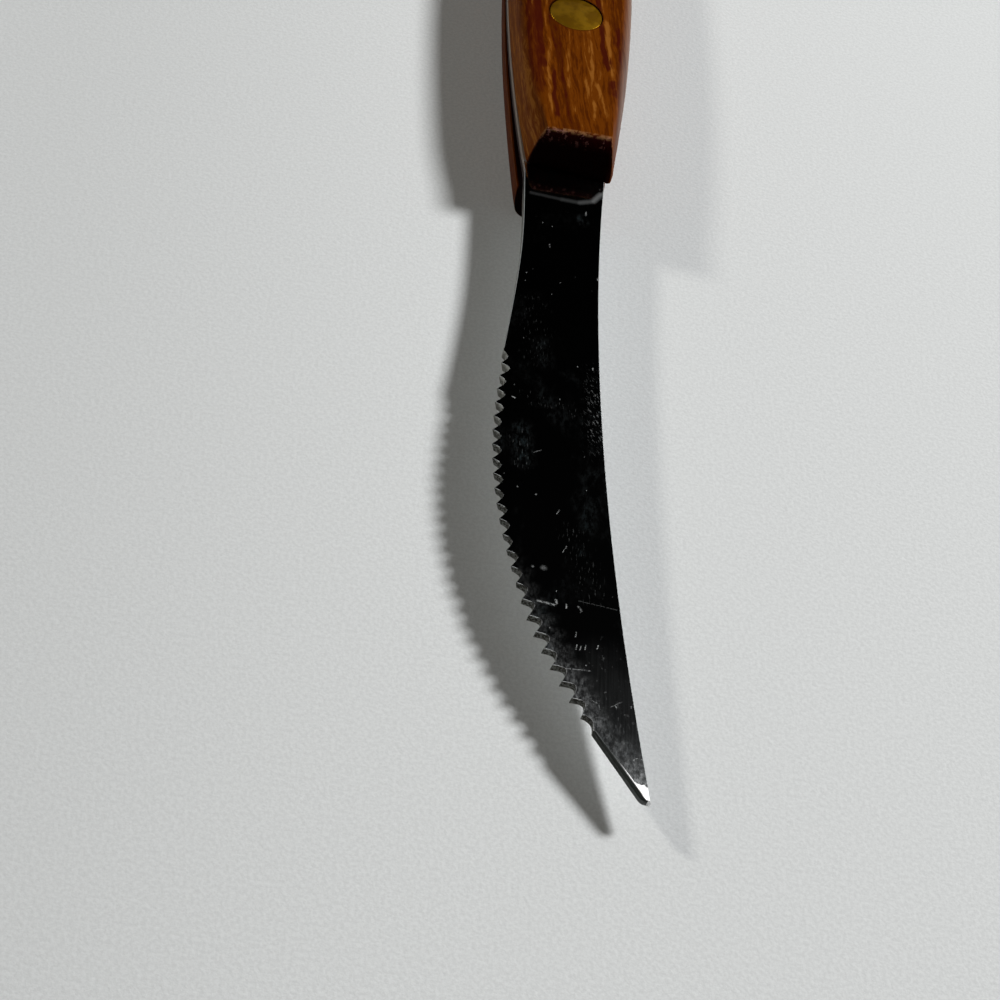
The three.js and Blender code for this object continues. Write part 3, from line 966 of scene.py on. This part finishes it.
def polished_steel(blade):
    """Mirror polish with a bluish film, specks and scratches, rubbed and hazy towards the tip, and a painted
    reflection line in front of the handle.
    """
    finish = Finish("polished_steel")
    place, cloud, mark = finish.place, finish.cloud, finish.mark
    across = finish.add("ShaderNodeSeparateXYZ", {0: place}, "X")
    along = across.sibling("Y")

    def past(start, end, low=0.0, high=1.0, where=along):
        """Changes from low to high between two places, in millimetres in front of the handle."""
        return where.ramp(FRONT - start * MM, FRONT - end * MM, low, high)

    hazy = past(74, 80, where=along + cloud(place, 260, 4) * (7 * MM))
    tip_haze = past(87, 98)
    rubbed = mark("edge_wear")
    brushed = cloud(place, (4200, 130, 1), 4, 0.65)
    scuffed = cloud(place, (1900, 1140, 1900), 6, 0.75)
    fine_scuffs = scuffed.ramp(0.35, 0.7)

    flat = flat_place(finish)
    patches = cloud(place, (150, 105, 150), 3, 0.6).ramp(0.5, 0.68, 0.0, 0.4) * past(18, 44, 0.2, 1.0)
    patches = patches.most(strokes(flat, FILM_STROKES))
    mottle = cloud(place, (1900, 855, 1900), 6, 0.75).ramp(0.42, 0.72)
    film = patches * mottle * hazy.ramp(0.0, 1.0, 1.0, 0.2)

    speck = specks(finish, 520, 0.1).most(specks(finish, 900, 0.12))
    slanted = finish.scaled(place, (1, 1, 1), math.radians(-28))
    scratched = cloud(slanted, (4200, 1100, 1), 3, 0.7).ramp(0.56, 0.68) * across.ramp(1.2 * MM, 3.4 * MM)
    scratched = scratched * past(35, 43) * past(53, 46)
    scuff = hazy.most(rubbed) * scuffed.ramp(0.6, 0.74)
    dashes = cloud(place, (4600, 900, 1), 2).ramp(0.6, 0.74) * strokes(flat, DASHED_STROKES)
    scrapes = cloud(place, 5200, 2).ramp(0.36, 0.52) * strokes(flat, SCRAPE_STROKES)

    dust_and_reflection_share = (speck * 0.4 + scratched * 0.25).math("ADD", scuff * 0.2, True)
    # This also lays the painted reflection line in front of the handle.
    dust_and_reflection_share = dust_and_reflection_share.most(scrapes, dashes).most(strokes(flat, REFLECTION_STROKES))
    bright = mark("ground_tip").most(mark("rim"))
    wall = mark("wall")
    plain_edge = mark("plain_edge")
    handled = (wall * past(1, -1)).most(past(-1.2, -2.4))
    worn_wall = past(44, 53)
    gritty = cloud(place, 3600, 3, 0.7).ramp(0.42, 0.6)
    wall_colour = finish.blend(gritty, blade.dirty_cut, blade.worn_cut)
    wall_colour = finish.blend(worn_wall, blade.fresh_cut, wall_colour)
    tang_colour = finish.blend(mark("seam").ramp(0.25, 0.6), blade.tang, blade.grime)
    colour = finish.blend(film, blade.steel, blade.film)
    coats = ((dust_and_reflection_share, blade.dust_and_reflection), (wall, wall_colour), (plain_edge, blade.stamped), (handled, tang_colour))
    for share, paint in (*coats, (bright, blade.ground)):
        colour = finish.blend(share, colour, paint)
    veil = (film * 0.04).most(dust_and_reflection_share, rubbed * fine_scuffs * 0.05, plain_edge * 0.5, handled * 0.95)
    metal = veil.left().most(bright)

    haze = hazy * (brushed * 0.075 + 0.015)
    haze = haze + tip_haze * (brushed * 0.1 + fine_scuffs * 0.1)
    haze = haze + rubbed * (fine_scuffs * 0.13)
    rough = (haze + 0.085).most(wall * worn_wall.ramp(0.0, 1.0, 0.34, 0.2))
    rough = rough.most(plain_edge * 0.38, bright * 0.52, dust_and_reflection_share.most(handled) * 0.6)
    return finish.complete(0.04, 0.02 * MM, brushed, Base_Color=colour, Metallic=metal, Roughness=rough)


# Marks on the blade: points in millimetres across and in front of the handle, half width, strength.
FILM_STROKES = (
    (((-5.9, 48.5), (-5.6, 53.5)), 2.0, 0.75),
    (((2.2, 60.0), (2.4, 62.5)), 1.6, 0.65),
    (((-3.6, 33.5), (-3.0, 37.0)), 1.8, 0.35),
    (((1.7, 8.6), (2.0, 9.2)), 1.3, 0.7),
    (((1.3, 65.6), (1.6, 66.6)), 0.8, 0.6),
)
DASHED_STROKES = (
    (((-4.8, 27.0), (-4.2, 36.0)), 3.0, 0.05),
    (((-5.0, 43.0), (0.5, 44.5)), 1.8, 0.08),
    (((-6.0, 50.0), (-5.5, 54.0)), 2.0, 0.12),
    (((0.5, 64.0), (3.0, 72.0)), 2.5, 0.08),
    (((8.2, 88.5), (8.55, 92.5)), 0.7, 0.5),
    (((5.0, 87.0), (7.5, 94.0)), 2.2, 0.16),
)
# A painted reflection: a pale curved line just in front of the handle stands in for the mirror image of the
# rim of the upper scale's end in the polished face.
REFLECTION_STROKES = (
    (((-5.2, 4.8), (-1.0, 5.2)), 0.5, 0.03),
    (((-1.0, 5.2), (1.5, 5.3)), 0.6, 0.045),
    (((1.5, 5.3), (3.4, 4.6)), 0.65, 0.09),
    (((3.4, 4.6), (4.5, 2.9)), 0.65, 0.17),
)
SCRAPE_STROKES = (
    (((2.4, 7.1), (2.35, 7.8)), 0.17, 0.3),
    (((-2.6, 14.7), (-2.6, 15.3)), 0.14, 0.35),
    (((3.85, 19.9), (3.85, 20.3)), 0.14, 0.5),
    (((3.05, 36.6), (3.05, 37.0)), 0.12, 0.5),
    (((-7.1, 43.5), (-6.8, 43.7)), 0.14, 0.6),
    (((-4.3, 52.1), (-3.4, 51.6)), 0.09, 0.25),
    (((-1.4, 61.1), (-1.1, 60.5)), 0.1, 0.4),
    (((-0.65, 66.6), (-0.2, 65.7)), 0.09, 0.4),
    (((-2.9, 69.2), (-2.8, 69.2)), 0.5, 0.18),
    (((-4.2, 69.2), (-4.1, 69.2)), 0.2, 0.25),
    (((-3.5, 73.9), (-1.5, 74.2)), 0.22, 0.45),
    (((-1.35, 73.5), (-1.3, 73.9)), 0.23, 0.5),
    (((-0.15, 73.9), (-0.15, 74.4)), 0.13, 0.6),
    (((1.2, 74.0), (1.6, 74.5)), 0.19, 0.3),
    (((1.25, 73.2), (5.75, 73.75)), 0.06, 0.12),
    (((1.0, 77.5), (0.95, 78.1)), 0.11, 0.6),
    (((1.1, 79.2), (1.0, 79.8)), 0.09, 0.5),
    (((1.6, 79.3), (1.4, 79.9)), 0.09, 0.5),
    (((2.15, 79.1), (2.0, 79.7)), 0.09, 0.5),
    (((3.55, 78.9), (3.4, 79.4)), 0.1, 0.5),
    (((-0.2, 82.5), (2.6, 82.4)), 0.1, 0.35),
    (((2.8, 86.2), (3.6, 86.5), (3.7, 87.2)), 0.09, 0.3),
    (((7.45, 93.0), (7.9, 92.75), (8.5, 92.8)), 0.1, 0.45),
    (((5.0, 86.7), (6.2, 85.9)), 0.08, 0.25),
    (((5.5, 86.5), (5.6, 86.7)), 0.1, 0.45),
    (((7.2, 86.3), (7.25, 86.5)), 0.1, 0.5),
)
SHAKE = 0.16 * MM
SHAKE_SCALE = 2600.0


def flat_place(finish):
    """The place on the blade's plan, shaken a little so that marks get ragged borders."""
    inputs = {"Vector": finish.place, "Scale": SHAKE_SCALE, "Detail": 2.0}
    wobble = finish.add("ShaderNodeTexNoise", inputs, "Color")
    shaken = finish.place.vector("ADD", wobble.times(SHAKE))
    inputs = {0: shaken, 1: (1, 1, 0), 2: (-SHAKE / 2, -SHAKE / 2, 0)}
    return finish.add("ShaderNodeVectorMath", inputs, operation="MULTIPLY_ADD")


def new_group(name, kind, output, sockets):
    """A node group with an output and named inputs, each with its kind of socket."""
    tree = bpy.data.node_groups.new(name, kind)
    tree.interface.new_socket(output[0], in_out="OUTPUT", socket_type="NodeSocket" + output[1])
    for label, socket in sockets.items():
        tree.interface.new_socket(label, in_out="INPUT", socket_type="NodeSocket" + socket)
    graph = Graph(tree)
    given = tree.nodes.new("NodeGroupInput").outputs
    inputs = {label: Value(graph, given[label]) for label in sockets}
    return graph, inputs, tree.nodes.new("NodeGroupOutput").inputs[0]


def stroke_group():
    """A shader group: how much of a round-ended stroke lies at a place."""
    sockets = {"Place": "Vector", "Start": "Vector", "Run": "Vector", "Half width": "Float"}
    graph, inputs, output = new_group("stroke", "ShaderNodeTree", ("Share", "Float"), sockets)
    run = inputs["Run"]
    away = inputs["Place"].vector("SUBTRACT", inputs["Start"])
    along = away.vector("DOT_PRODUCT", run, "Value")
    share = along.math("DIVIDE", run.vector("DOT_PRODUCT", run, "Value"), True)
    distance = away.vector("DISTANCE", run.times(share), "Value")
    graph.fill(output, distance.ramp(inputs["Half width"], 0.0))
    return graph.tree


def strokes(place, drawn):
    """The strongest of the drawn strokes, each with its points in millimetres across and along the blade."""
    group = stroke_group()
    total = None
    for points, half_width, strength in drawn:
        spots = [Vector((across, FRONT / MM - along, 0)) * MM for across, along in points]
        for start, end in zip(spots, spots[1:]):
            inputs = {"Place": place, "Start": start, "Run": end - start, "Half width": half_width * MM}
            share = place.graph.add("ShaderNodeGroup", inputs, "Share", node_tree=group) * strength
            total = total.most(share) if total else share
    return total


def specks(finish, scale, radius):
    """Scattered specks, ragged and longer along the blade."""
    vector = finish.scaled(finish.place, (1, 0.55, 0))
    inputs = {"Vector": vector, "Scale": scale, "Randomness": 1.0}
    distance = finish.add("ShaderNodeTexVoronoi", inputs, "Distance")
    ragged = distance + finish.cloud(finish.place, 7000, 2) * radius
    chance = finish.add("ShaderNodeSeparateColor", {0: distance.sibling("Color")}, "Red")
    return ragged.ramp(radius * 1.1, radius * 0.7) * chance.ramp(0.6, 0.9)


def streaked_wood(handle, rivet):
    """Orange-brown wood with dark and pale streaks along a slanting grain, stained end grain, painted light
    on the teeth-side flank and painted sheen on the spine side.
    """
    finish = Finish("streaked_wood")
    place, cloud, mark = finish.place, finish.cloud, finish.mark
    along = finish.add("ShaderNodeSeparateXYZ", {0: place}, "Y")
    across = mark("grain_across")
    over = finish.add("ShaderNodeCombineXYZ", {"X": across, "Y": along})
    sway = cloud(over, (150, 45, 1), 2) * (2.4 * MM)
    waver = cloud(over, (420, 170, 1), 2) * (1.1 * MM)
    swayed = finish.add("ShaderNodeCombineXYZ", {"X": across + sway + waver, "Y": along})
    grain = finish.scaled(swayed, (1, 1, 1), math.radians(-4.5))
    bands = cloud(grain, (360, 14, 1), 3, 0.55)
    streaks = cloud(grain, (1350, 65, 1), 4, 0.7)
    dashes = cloud(grain, (3400, 330, 1), 3, 0.65)

    tone = bands * 0.35 + streaks * 0.35 + dashes * 0.3
    # The pale streak mark also paints light onto the teeth-side flank, which turns away from the strong lamp.
    tone = tone + mark("pale_streak") * 0.1 * (dashes + 0.4)
    colour = finish.blend(tone.ramp(0.38, 0.46), handle.dark, handle.brown)
    colour = finish.blend(tone.ramp(0.465, 0.535), colour, handle.golden)
    colour = finish.blend(tone.ramp(0.56, 0.64), colour, handle.light)
    lined = mark("dark_streak") + 0.7 - (streaks * 0.7 + dashes * 0.7)
    colour = finish.blend(lined.ramp(0.15, 0.8, 0.0, 0.88), colour, handle.dark)

    flat = place.vector("MULTIPLY", (1, 1, 0))
    head = rivet.head_diameter / 2
    for behind in rivet_places(handle, rivet):
        away = flat.vector("DISTANCE", (0, FRONT + behind, 0), "Value")
        colour = finish.blend(away.ramp(head + 0.35 * MM, head) * 0.9, colour, handle.end_grain)

    # Painted sheen on the spine side, standing in for the varnish's grazing reflection of the table.
    faded = mark("faded") * streaks.ramp(0.3, 0.6, 0.6, 1.1)
    colour = finish.blend(faded, colour, handle.faded)
    pores = cloud(place, (1250, 1250, 1000), 3, 0.65)
    upper_part = along.sibling("Z").ramp(TANG_TOP + 3.2 * MM, HANDLE_TOP)
    stain = finish.blend(upper_part, handle.end_grain, handle.torn_grain)
    stain = finish.blend(pores.ramp(0.55, 0.62) * upper_part, stain, handle.torn_fibre)
    colour = finish.blend(mark("end_grain"), colour, stain)
    chipped = cloud(place, 1300, 3, 0.7).ramp(0.42, 0.58)
    colour = finish.blend(mark("worn_edge") * chipped * 0.38, colour, handle.worn)
    rough = dashes * 0.16 + 0.32
    inputs = {"Base_Color": colour, "Roughness": rough, "Specular_IOR_Level": 0.01}
    return finish.complete(0.25, 0.06 * MM, streaks, **inputs)


def dull_brass(rivet):
    """Flush brass, dulled to olive in patches."""
    finish = Finish("dull_brass")
    patches = finish.cloud(finish.place, 320, 4, 0.6).ramp(0.4, 0.6)
    rubbed = finish.cloud(finish.place, (900, 5200, 1), 3)
    colour = finish.blend(patches, rivet.brass, rivet.tarnish)
    rough = rubbed * 0.12 + 0.34
    return finish.complete(0.15, 0.03 * MM, rubbed, Base_Color=colour, Metallic=1.0, Roughness=rough)


def pale_table(stage):
    """A matt table with a faint mottle, and painted shade that darkens it towards the teeth side. Its far
    part shines for the camera and for reflections only.
    """
    finish = Finish("pale_table")
    place = finish.place
    base = Vector(stage.table)
    mottle = finish.cloud(place, 2300, 2, 0.7).ramp(0.34, 0.66)
    colour = finish.blend(mottle, base * 0.955, base * 1.055)
    # Painted shade: the table darkens towards the teeth side, standing in for the lamps' uneven light.
    across = finish.add("ShaderNodeSeparateXYZ", {0: place}, "X")
    colour = finish.blend(across.ramp(-10 * MM, -75 * MM, 0.04, 0.22), colour, base * 0.5)
    far = place.vector("LENGTH", output="Value").ramp(0.35, stage.table_radius)
    to_camera = finish.add("ShaderNodeLightPath", output="Is Camera Ray")
    seen = to_camera + to_camera.sibling("Is Glossy Ray")
    seen = seen.math("ADD", to_camera.sibling("Is Transmission Ray"), True)
    colour = finish.blend(far * seen.left(), colour, (0.0, 0.0, 0.0))
    pebbles = finish.cloud(place, 1500, 2, 0.6)
    finish.complete(0.7, 0.06 * MM, pebbles, Base_Color=colour, Roughness=0.8, Specular_IOR_Level=0.1)
    glow = finish.add("ShaderNodeEmission", {"Color": (*stage.table, 1.0), "Strength": 1.0})
    matt = Value(finish, finish.shader.outputs[0])
    both = finish.add("ShaderNodeMixShader", {0: far * seen, 1: matt, 2: glow})
    finish.fill(finish.tree.nodes["Material Output"].inputs["Surface"], both)
    return finish.material


def geometry_tree(name, **kinds):
    """A geometry tree with a mesh input and output, a material input and other named inputs."""
    sockets = {label.replace("_", " "): kind for label, kind in kinds.items()}
    sockets = {"Mesh": "Geometry", **sockets, "Material": "Material"}
    return new_group(name, "GeometryNodeTree", ("Mesh", "Geometry"), sockets)


def end_tree(graph, geometry, material, output):
    """Ends a geometry tree: plain mesh, with its material."""
    real = graph.add("GeometryNodeRealizeInstances", {"Geometry": geometry})
    graph.fill(output, graph.add("GeometryNodeSetMaterial", {"Geometry": real, "Material": material}))
    return graph.tree


def tooth_tree():
    """Cuts round gullets into an edge, from the tooth count and the inward direction kept on its points."""
    graph, inputs, output = geometry_tree("tooth_tree", Gullet_depth="Float", Unevenness="Float", Seed="Int")

    def named(name, kind="FLOAT"):
        return graph.add("GeometryNodeInputNamedAttribute", {"Name": name}, "Attribute", data_type=kind)

    count = named("tooth_count")
    wave = (count * math.pi).math("SINE").math("ABSOLUTE")
    which = graph.add("FunctionNodeFloatToInt", {0: count}, rounding_mode="FLOOR")
    draw = {"Min": (-1.0, -1.0, -1.0), "Max": (1.0, 1.0, 1.0), "ID": which, "Seed": inputs["Seed"]}
    chance = graph.add("FunctionNodeRandomValue", draw, "Value", data_type="FLOAT_VECTOR")
    uneven = graph.add("ShaderNodeSeparateXYZ", {0: chance}, "X") * inputs["Unevenness"] + 1.0
    depth = wave * uneven * inputs["Gullet depth"] * named("edge_pull")
    offset = named("edge_inward", "FLOAT_VECTOR").times(depth)
    moved = graph.add("GeometryNodeSetPosition", {"Geometry": inputs["Mesh"], "Offset": offset})
    return end_tree(graph, moved, inputs["Material"], output)


def rivet_tree():
    """Puts a half rivet at both rivet places, upright or turned over."""
    graph, inputs, output = geometry_tree(
        "rivet_tree", Front_place="Float", Rear_place="Float", Height="Float", Turn="Float"
    )
    run = inputs["Rear place"] - inputs["Front place"]
    along = graph.add("GeometryNodeInputIndex") * run + inputs["Front place"]
    place = graph.add("ShaderNodeCombineXYZ", {"Y": along, "Z": inputs["Height"]})
    points = graph.add("GeometryNodePoints", {"Count": 2, "Position": place})
    angles = graph.add("ShaderNodeCombineXYZ", {"X": inputs["Turn"]})
    turned = graph.add("FunctionNodeEulerToRotation", {0: angles})
    placed = {"Points": points, "Instance": inputs["Mesh"], "Rotation": turned}
    copies = graph.add("GeometryNodeInstanceOnPoints", placed)
    return end_tree(graph, copies, inputs["Material"], output)


def run_tree(thing, tree, values):
    """Runs a geometry tree with the given inputs and keeps the plain mesh."""
    modifier = thing.modifiers.new(tree.name, "NODES")
    modifier.node_group = tree
    for item in tree.interface.items_tree:
        if item.in_out == "INPUT" and item.name in values:
            modifier[item.identifier] = values[item.name]
    return settle(thing)


# The rounded rim of a rivet's head, and how far the hole cutters stand out of the wood.
HEAD_RIM = 0.08 * MM
PAST = 2 * MM


def head_profile(rivet, steps=10):
    """A rivet head's outline from its inner corner over the crowned face to the axis."""
    radius = rivet.head_diameter / 2
    profile = [(radius, 0.0), (radius, rivet.head_thickness - rivet.head_crown - HEAD_RIM)]
    for share in spread(steps):
        out = 1 - share
        profile.append(((radius - HEAD_RIM) * out, rivet.head_thickness - rivet.head_crown * out * out))
    return profile


def rivet_places(handle, rivet):
    """Distances of both rivets behind the handle's front end."""
    return rivet.inset, handle.length - rivet.inset


def rivet_levels(rivet):
    """Inner sides of the upper and the lower heads."""
    depth = rivet.head_recess + rivet.head_thickness
    return HANDLE_TOP - depth, depth


def rivet_holes(handle, rivet, *steps):
    """Turned solids for holes at both rivet places, from levels upwards with the radii between them."""
    levels, radii = steps[::2], steps[1::2]
    profile = [(0, levels[0])]
    for radius, low, high in zip(radii, levels, levels[1:]):
        profile += [(radius, low), (radius, high)]
    profile.append((0, levels[-1]))
    cutters = []
    for behind in rivet_places(handle, rivet):
        mesh = turned_mesh("cutter", profile)
        mesh.transform(Matrix.Translation((0, FRONT + behind, 0)))
        cutters.append(add_object("cutter", mesh))
    return cutters


def shank_hole(rivet):
    return rivet.tube_diameter / 2 + rivet.shank_clearance


class KNIFE_OT_blade(bpy.types.Operator):
    """Builds the serrated blade with its tang"""

    bl_idname = "knife.blade"
    bl_label = "Blade"

    def execute(self, context):
        scene = context.scene
        blade, handle, rivet = scene.knife_blade, scene.knife_handle, scene.knife_rivet
        steel = polished_steel(blade)
        thing = add_object("blade_steel", blade_mesh(BladeOutline(blade, handle), handle))
        cuts = {"Gullet depth": blade.gullet_depth, "Unevenness": UNEVENNESS, "Seed": SEED}
        run_tree(thing, tooth_tree(), {**cuts, "Material": steel})
        cut(thing, rivet_holes(handle, rivet, 0, shank_hole(rivet), HANDLE_TOP))
        finish_piece(thing, steel, "steel", "blade")
        return {"FINISHED"}


class KNIFE_OT_scales(bpy.types.Operator):
    """Builds the upper and the lower wooden scale"""

    bl_idname = "knife.scales"
    bl_label = "Scales"

    def execute(self, context):
        handle, rivet = context.scene.knife_handle, context.scene.knife_rivet
        wood = streaked_wood(handle, rivet)
        seat = rivet.head_diameter / 2 + rivet.head_clearance
        shank = shank_hole(rivet)
        inside, under = rivet_levels(rivet)
        upper_hole = (TANG_TOP - PAST, shank, inside, seat, HANDLE_TOP + PAST)
        lower_hole = (-PAST, seat, under, shank, handle.thickness + PAST)
        for name, upper, hole in (("upper_scale", True, upper_hole), ("lower_scale", False, lower_hole)):
            thing = add_object(name + "_wood", ScaleBuilder(handle, upper).mesh(name + "_wood"))
            cut(thing, rivet_holes(handle, rivet, *hole))
            finish_piece(thing, wood, "wood", name)
        return {"FINISHED"}


class KNIFE_OT_rivets(bpy.types.Operator):
    """Builds the hollow and the solid halves of both rivets"""

    bl_idname = "knife.rivets"
    bl_label = "Rivets"

    def execute(self, context):
        handle, rivet = context.scene.knife_handle, context.scene.knife_rivet
        brass = dull_brass(rivet)
        tree = rivet_tree()
        inside, under = rivet_levels(rivet)
        head = head_profile(rivet)
        outer, core = rivet.tube_diameter / 2, rivet.pin_diameter / 2
        bore = core + rivet.pin_clearance
        tube = inside - under - rivet.tube_gap
        pin = inside - under - rivet.pin_gap
        tube_profile = [(0, 0), (bore, 0), (bore, -tube), (outer, -tube), (outer, 0), *head]
        pin_profile = [(0, -pin), (core, -pin), (core, 0), *head]
        front, rear = rivet_places(handle, rivet)
        places = {"Front place": FRONT + front, "Rear place": FRONT + rear}
        halves = (("tube", tube_profile, inside, 0.0), ("pin", pin_profile, under, math.pi))
        for kind, profile, height, turn in halves:
            thing = add_object("rivet_" + kind + "s", turned_mesh("rivet_" + kind + "s", profile))
            run_tree(thing, tree, {**places, "Height": height, "Turn": turn, "Material": brass})
            finish_piece(thing, brass, "brass", "front_rivet_" + kind, "rear_rivet_" + kind)
        return {"FINISHED"}


# Places of the lamps and the camera as azimuth and elevation in degrees, and lengths in metres.
KEY_LAMP = {"azimuth": 113.8, "elevation": 44.2, "distance": 1.77, "diameter": 0.34}
FILL_LAMP = {"azimuth": -121.9, "elevation": 32.7, "distance": 4.0, "diameter": 0.51}
CAMERA_HEADING = (-10.75, 48.0)
CAMERA_ROLL = math.radians(15.94)
CAMERA_PLACE = (-0.036457, -0.262989, 0.174722)
SENSOR_WIDTH = 36
NEAREST = 0.01
TABLE_MIDDLE = 0.3
TABLE_DROP = 0.02 * MM
RIM_REACH = 0.6
RIM_STEPS = 16
TABLE_SEGMENTS = 128


class KNIFE_OT_stage(bpy.types.Operator):
    """Builds the table, the lamps and the camera"""

    bl_idname = "knife.stage"
    bl_label = "Stage"

    def execute(self, context):
        scene, stage = context.scene, context.scene.knife_stage
        profile = [(0, 0), (TABLE_MIDDLE, 0)]
        for share in spread(RIM_STEPS):
            turn = QUARTER_TURN * share
            reach = stage.table_radius * (1 + RIM_REACH * math.sin(turn))
            profile.append((reach, stage.rim_height * (1 - math.cos(turn))))
        table = add_object("table", turned_mesh("table", profile, TABLE_SEGMENTS))
        table.data.transform(Matrix.Translation((0, FRONT, -TABLE_DROP)))
        table.data.materials.append(pale_table(stage))
        add_lamp("key_lamp", stage.key_power, **KEY_LAMP)
        fill = add_lamp("fill_lamp", stage.fill_power, **FILL_LAMP)
        fill.color = stage.fill_colour
        world = scene.world or bpy.data.worlds.new("studio")
        scene.world = world
        world.use_nodes = True
        world.node_tree.nodes["Background"].inputs["Color"].default_value = (0.0, 0.0, 0.0, 1.0)
        scene.view_settings.view_transform = "Standard"
        add_camera(stage)
        return {"FINISHED"}


def heading(azimuth, elevation):
    """Unit vector from the object at an azimuth and elevation in degrees, with 0 towards -Y."""
    turn, rise = math.radians(azimuth), math.radians(elevation)
    return Vector((math.sin(turn) * math.cos(rise), -math.cos(turn) * math.cos(rise), math.sin(rise)))


def add_lamp(name, power, azimuth, elevation, distance, diameter):
    """A round soft lamp that faces the front of the handle."""
    data = bpy.data.lights.new(name, "AREA")
    data.shape = "DISK"
    data.size = diameter
    data.energy = power
    lamp = add_object(name, data)
    away = heading(azimuth, elevation)
    lamp.location = Vector((0, FRONT, 0)) + away * distance
    lamp.rotation_euler = away.to_track_quat("Z", "Y").to_euler()
    return data


def add_camera(stage):
    """The camera at the photograph's place, turned about its own axis as the picture is."""
    data = bpy.data.cameras.new("camera")
    data.lens = stage.lens
    data.sensor_width = SENSOR_WIDTH
    data.clip_start = NEAREST
    camera = add_object("camera", data)
    back = heading(*CAMERA_HEADING)
    right = Vector((0, 0, 1)).cross(back).normalized()
    up = back.cross(right)
    tilted_right = right * math.cos(CAMERA_ROLL) + up * math.sin(CAMERA_ROLL)
    tilted_up = up * math.cos(CAMERA_ROLL) - right * math.sin(CAMERA_ROLL)
    turn = Matrix((tilted_right, tilted_up, back)).transposed()
    camera.matrix_world = Matrix.Translation(CAMERA_PLACE) @ turn.to_4x4()
    bpy.context.scene.camera = camera


class KNIFE_PT_sidebar(bpy.types.Panel):
    """Lists the knife's pieces and their settings"""

    bl_idname = "KNIFE_PT_sidebar"
    bl_label = "Grapefruit Knife"
    bl_space_type = "VIEW_3D"
    bl_region_type = "UI"
    bl_category = "Knife"

    def draw(self, context):
        for operator, group in STEPS:
            box = self.layout.box()
            box.operator(operator.bl_idname)
            settings = getattr(context.scene, group)
            for name in settings.__annotations__:
                box.prop(settings, name)


GROUPS = {
    "knife_blade": BladeSettings,
    "knife_handle": HandleSettings,
    "knife_rivet": RivetSettings,
    "knife_stage": StageSettings,
}
STEPS = tuple(zip((KNIFE_OT_blade, KNIFE_OT_scales, KNIFE_OT_rivets, KNIFE_OT_stage), GROUPS))
CLASSES = (*GROUPS.values(), *(operator for operator, group in STEPS), KNIFE_PT_sidebar)


def register():
    for item in CLASSES:
        bpy.utils.register_class(item)
    for name, group in GROUPS.items():
        setattr(bpy.types.Scene, name, bpy.props.PointerProperty(type=group))


def unregister():
    for name in GROUPS:
        delattr(bpy.types.Scene, name)
    for item in reversed(CLASSES):
        bpy.utils.unregister_class(item)


def main():
    register()
    bpy.ops.knife.blade()
    bpy.ops.knife.scales()
    bpy.ops.knife.rivets()
    bpy.ops.knife.stage()


if __name__ == "__main__":
    main()
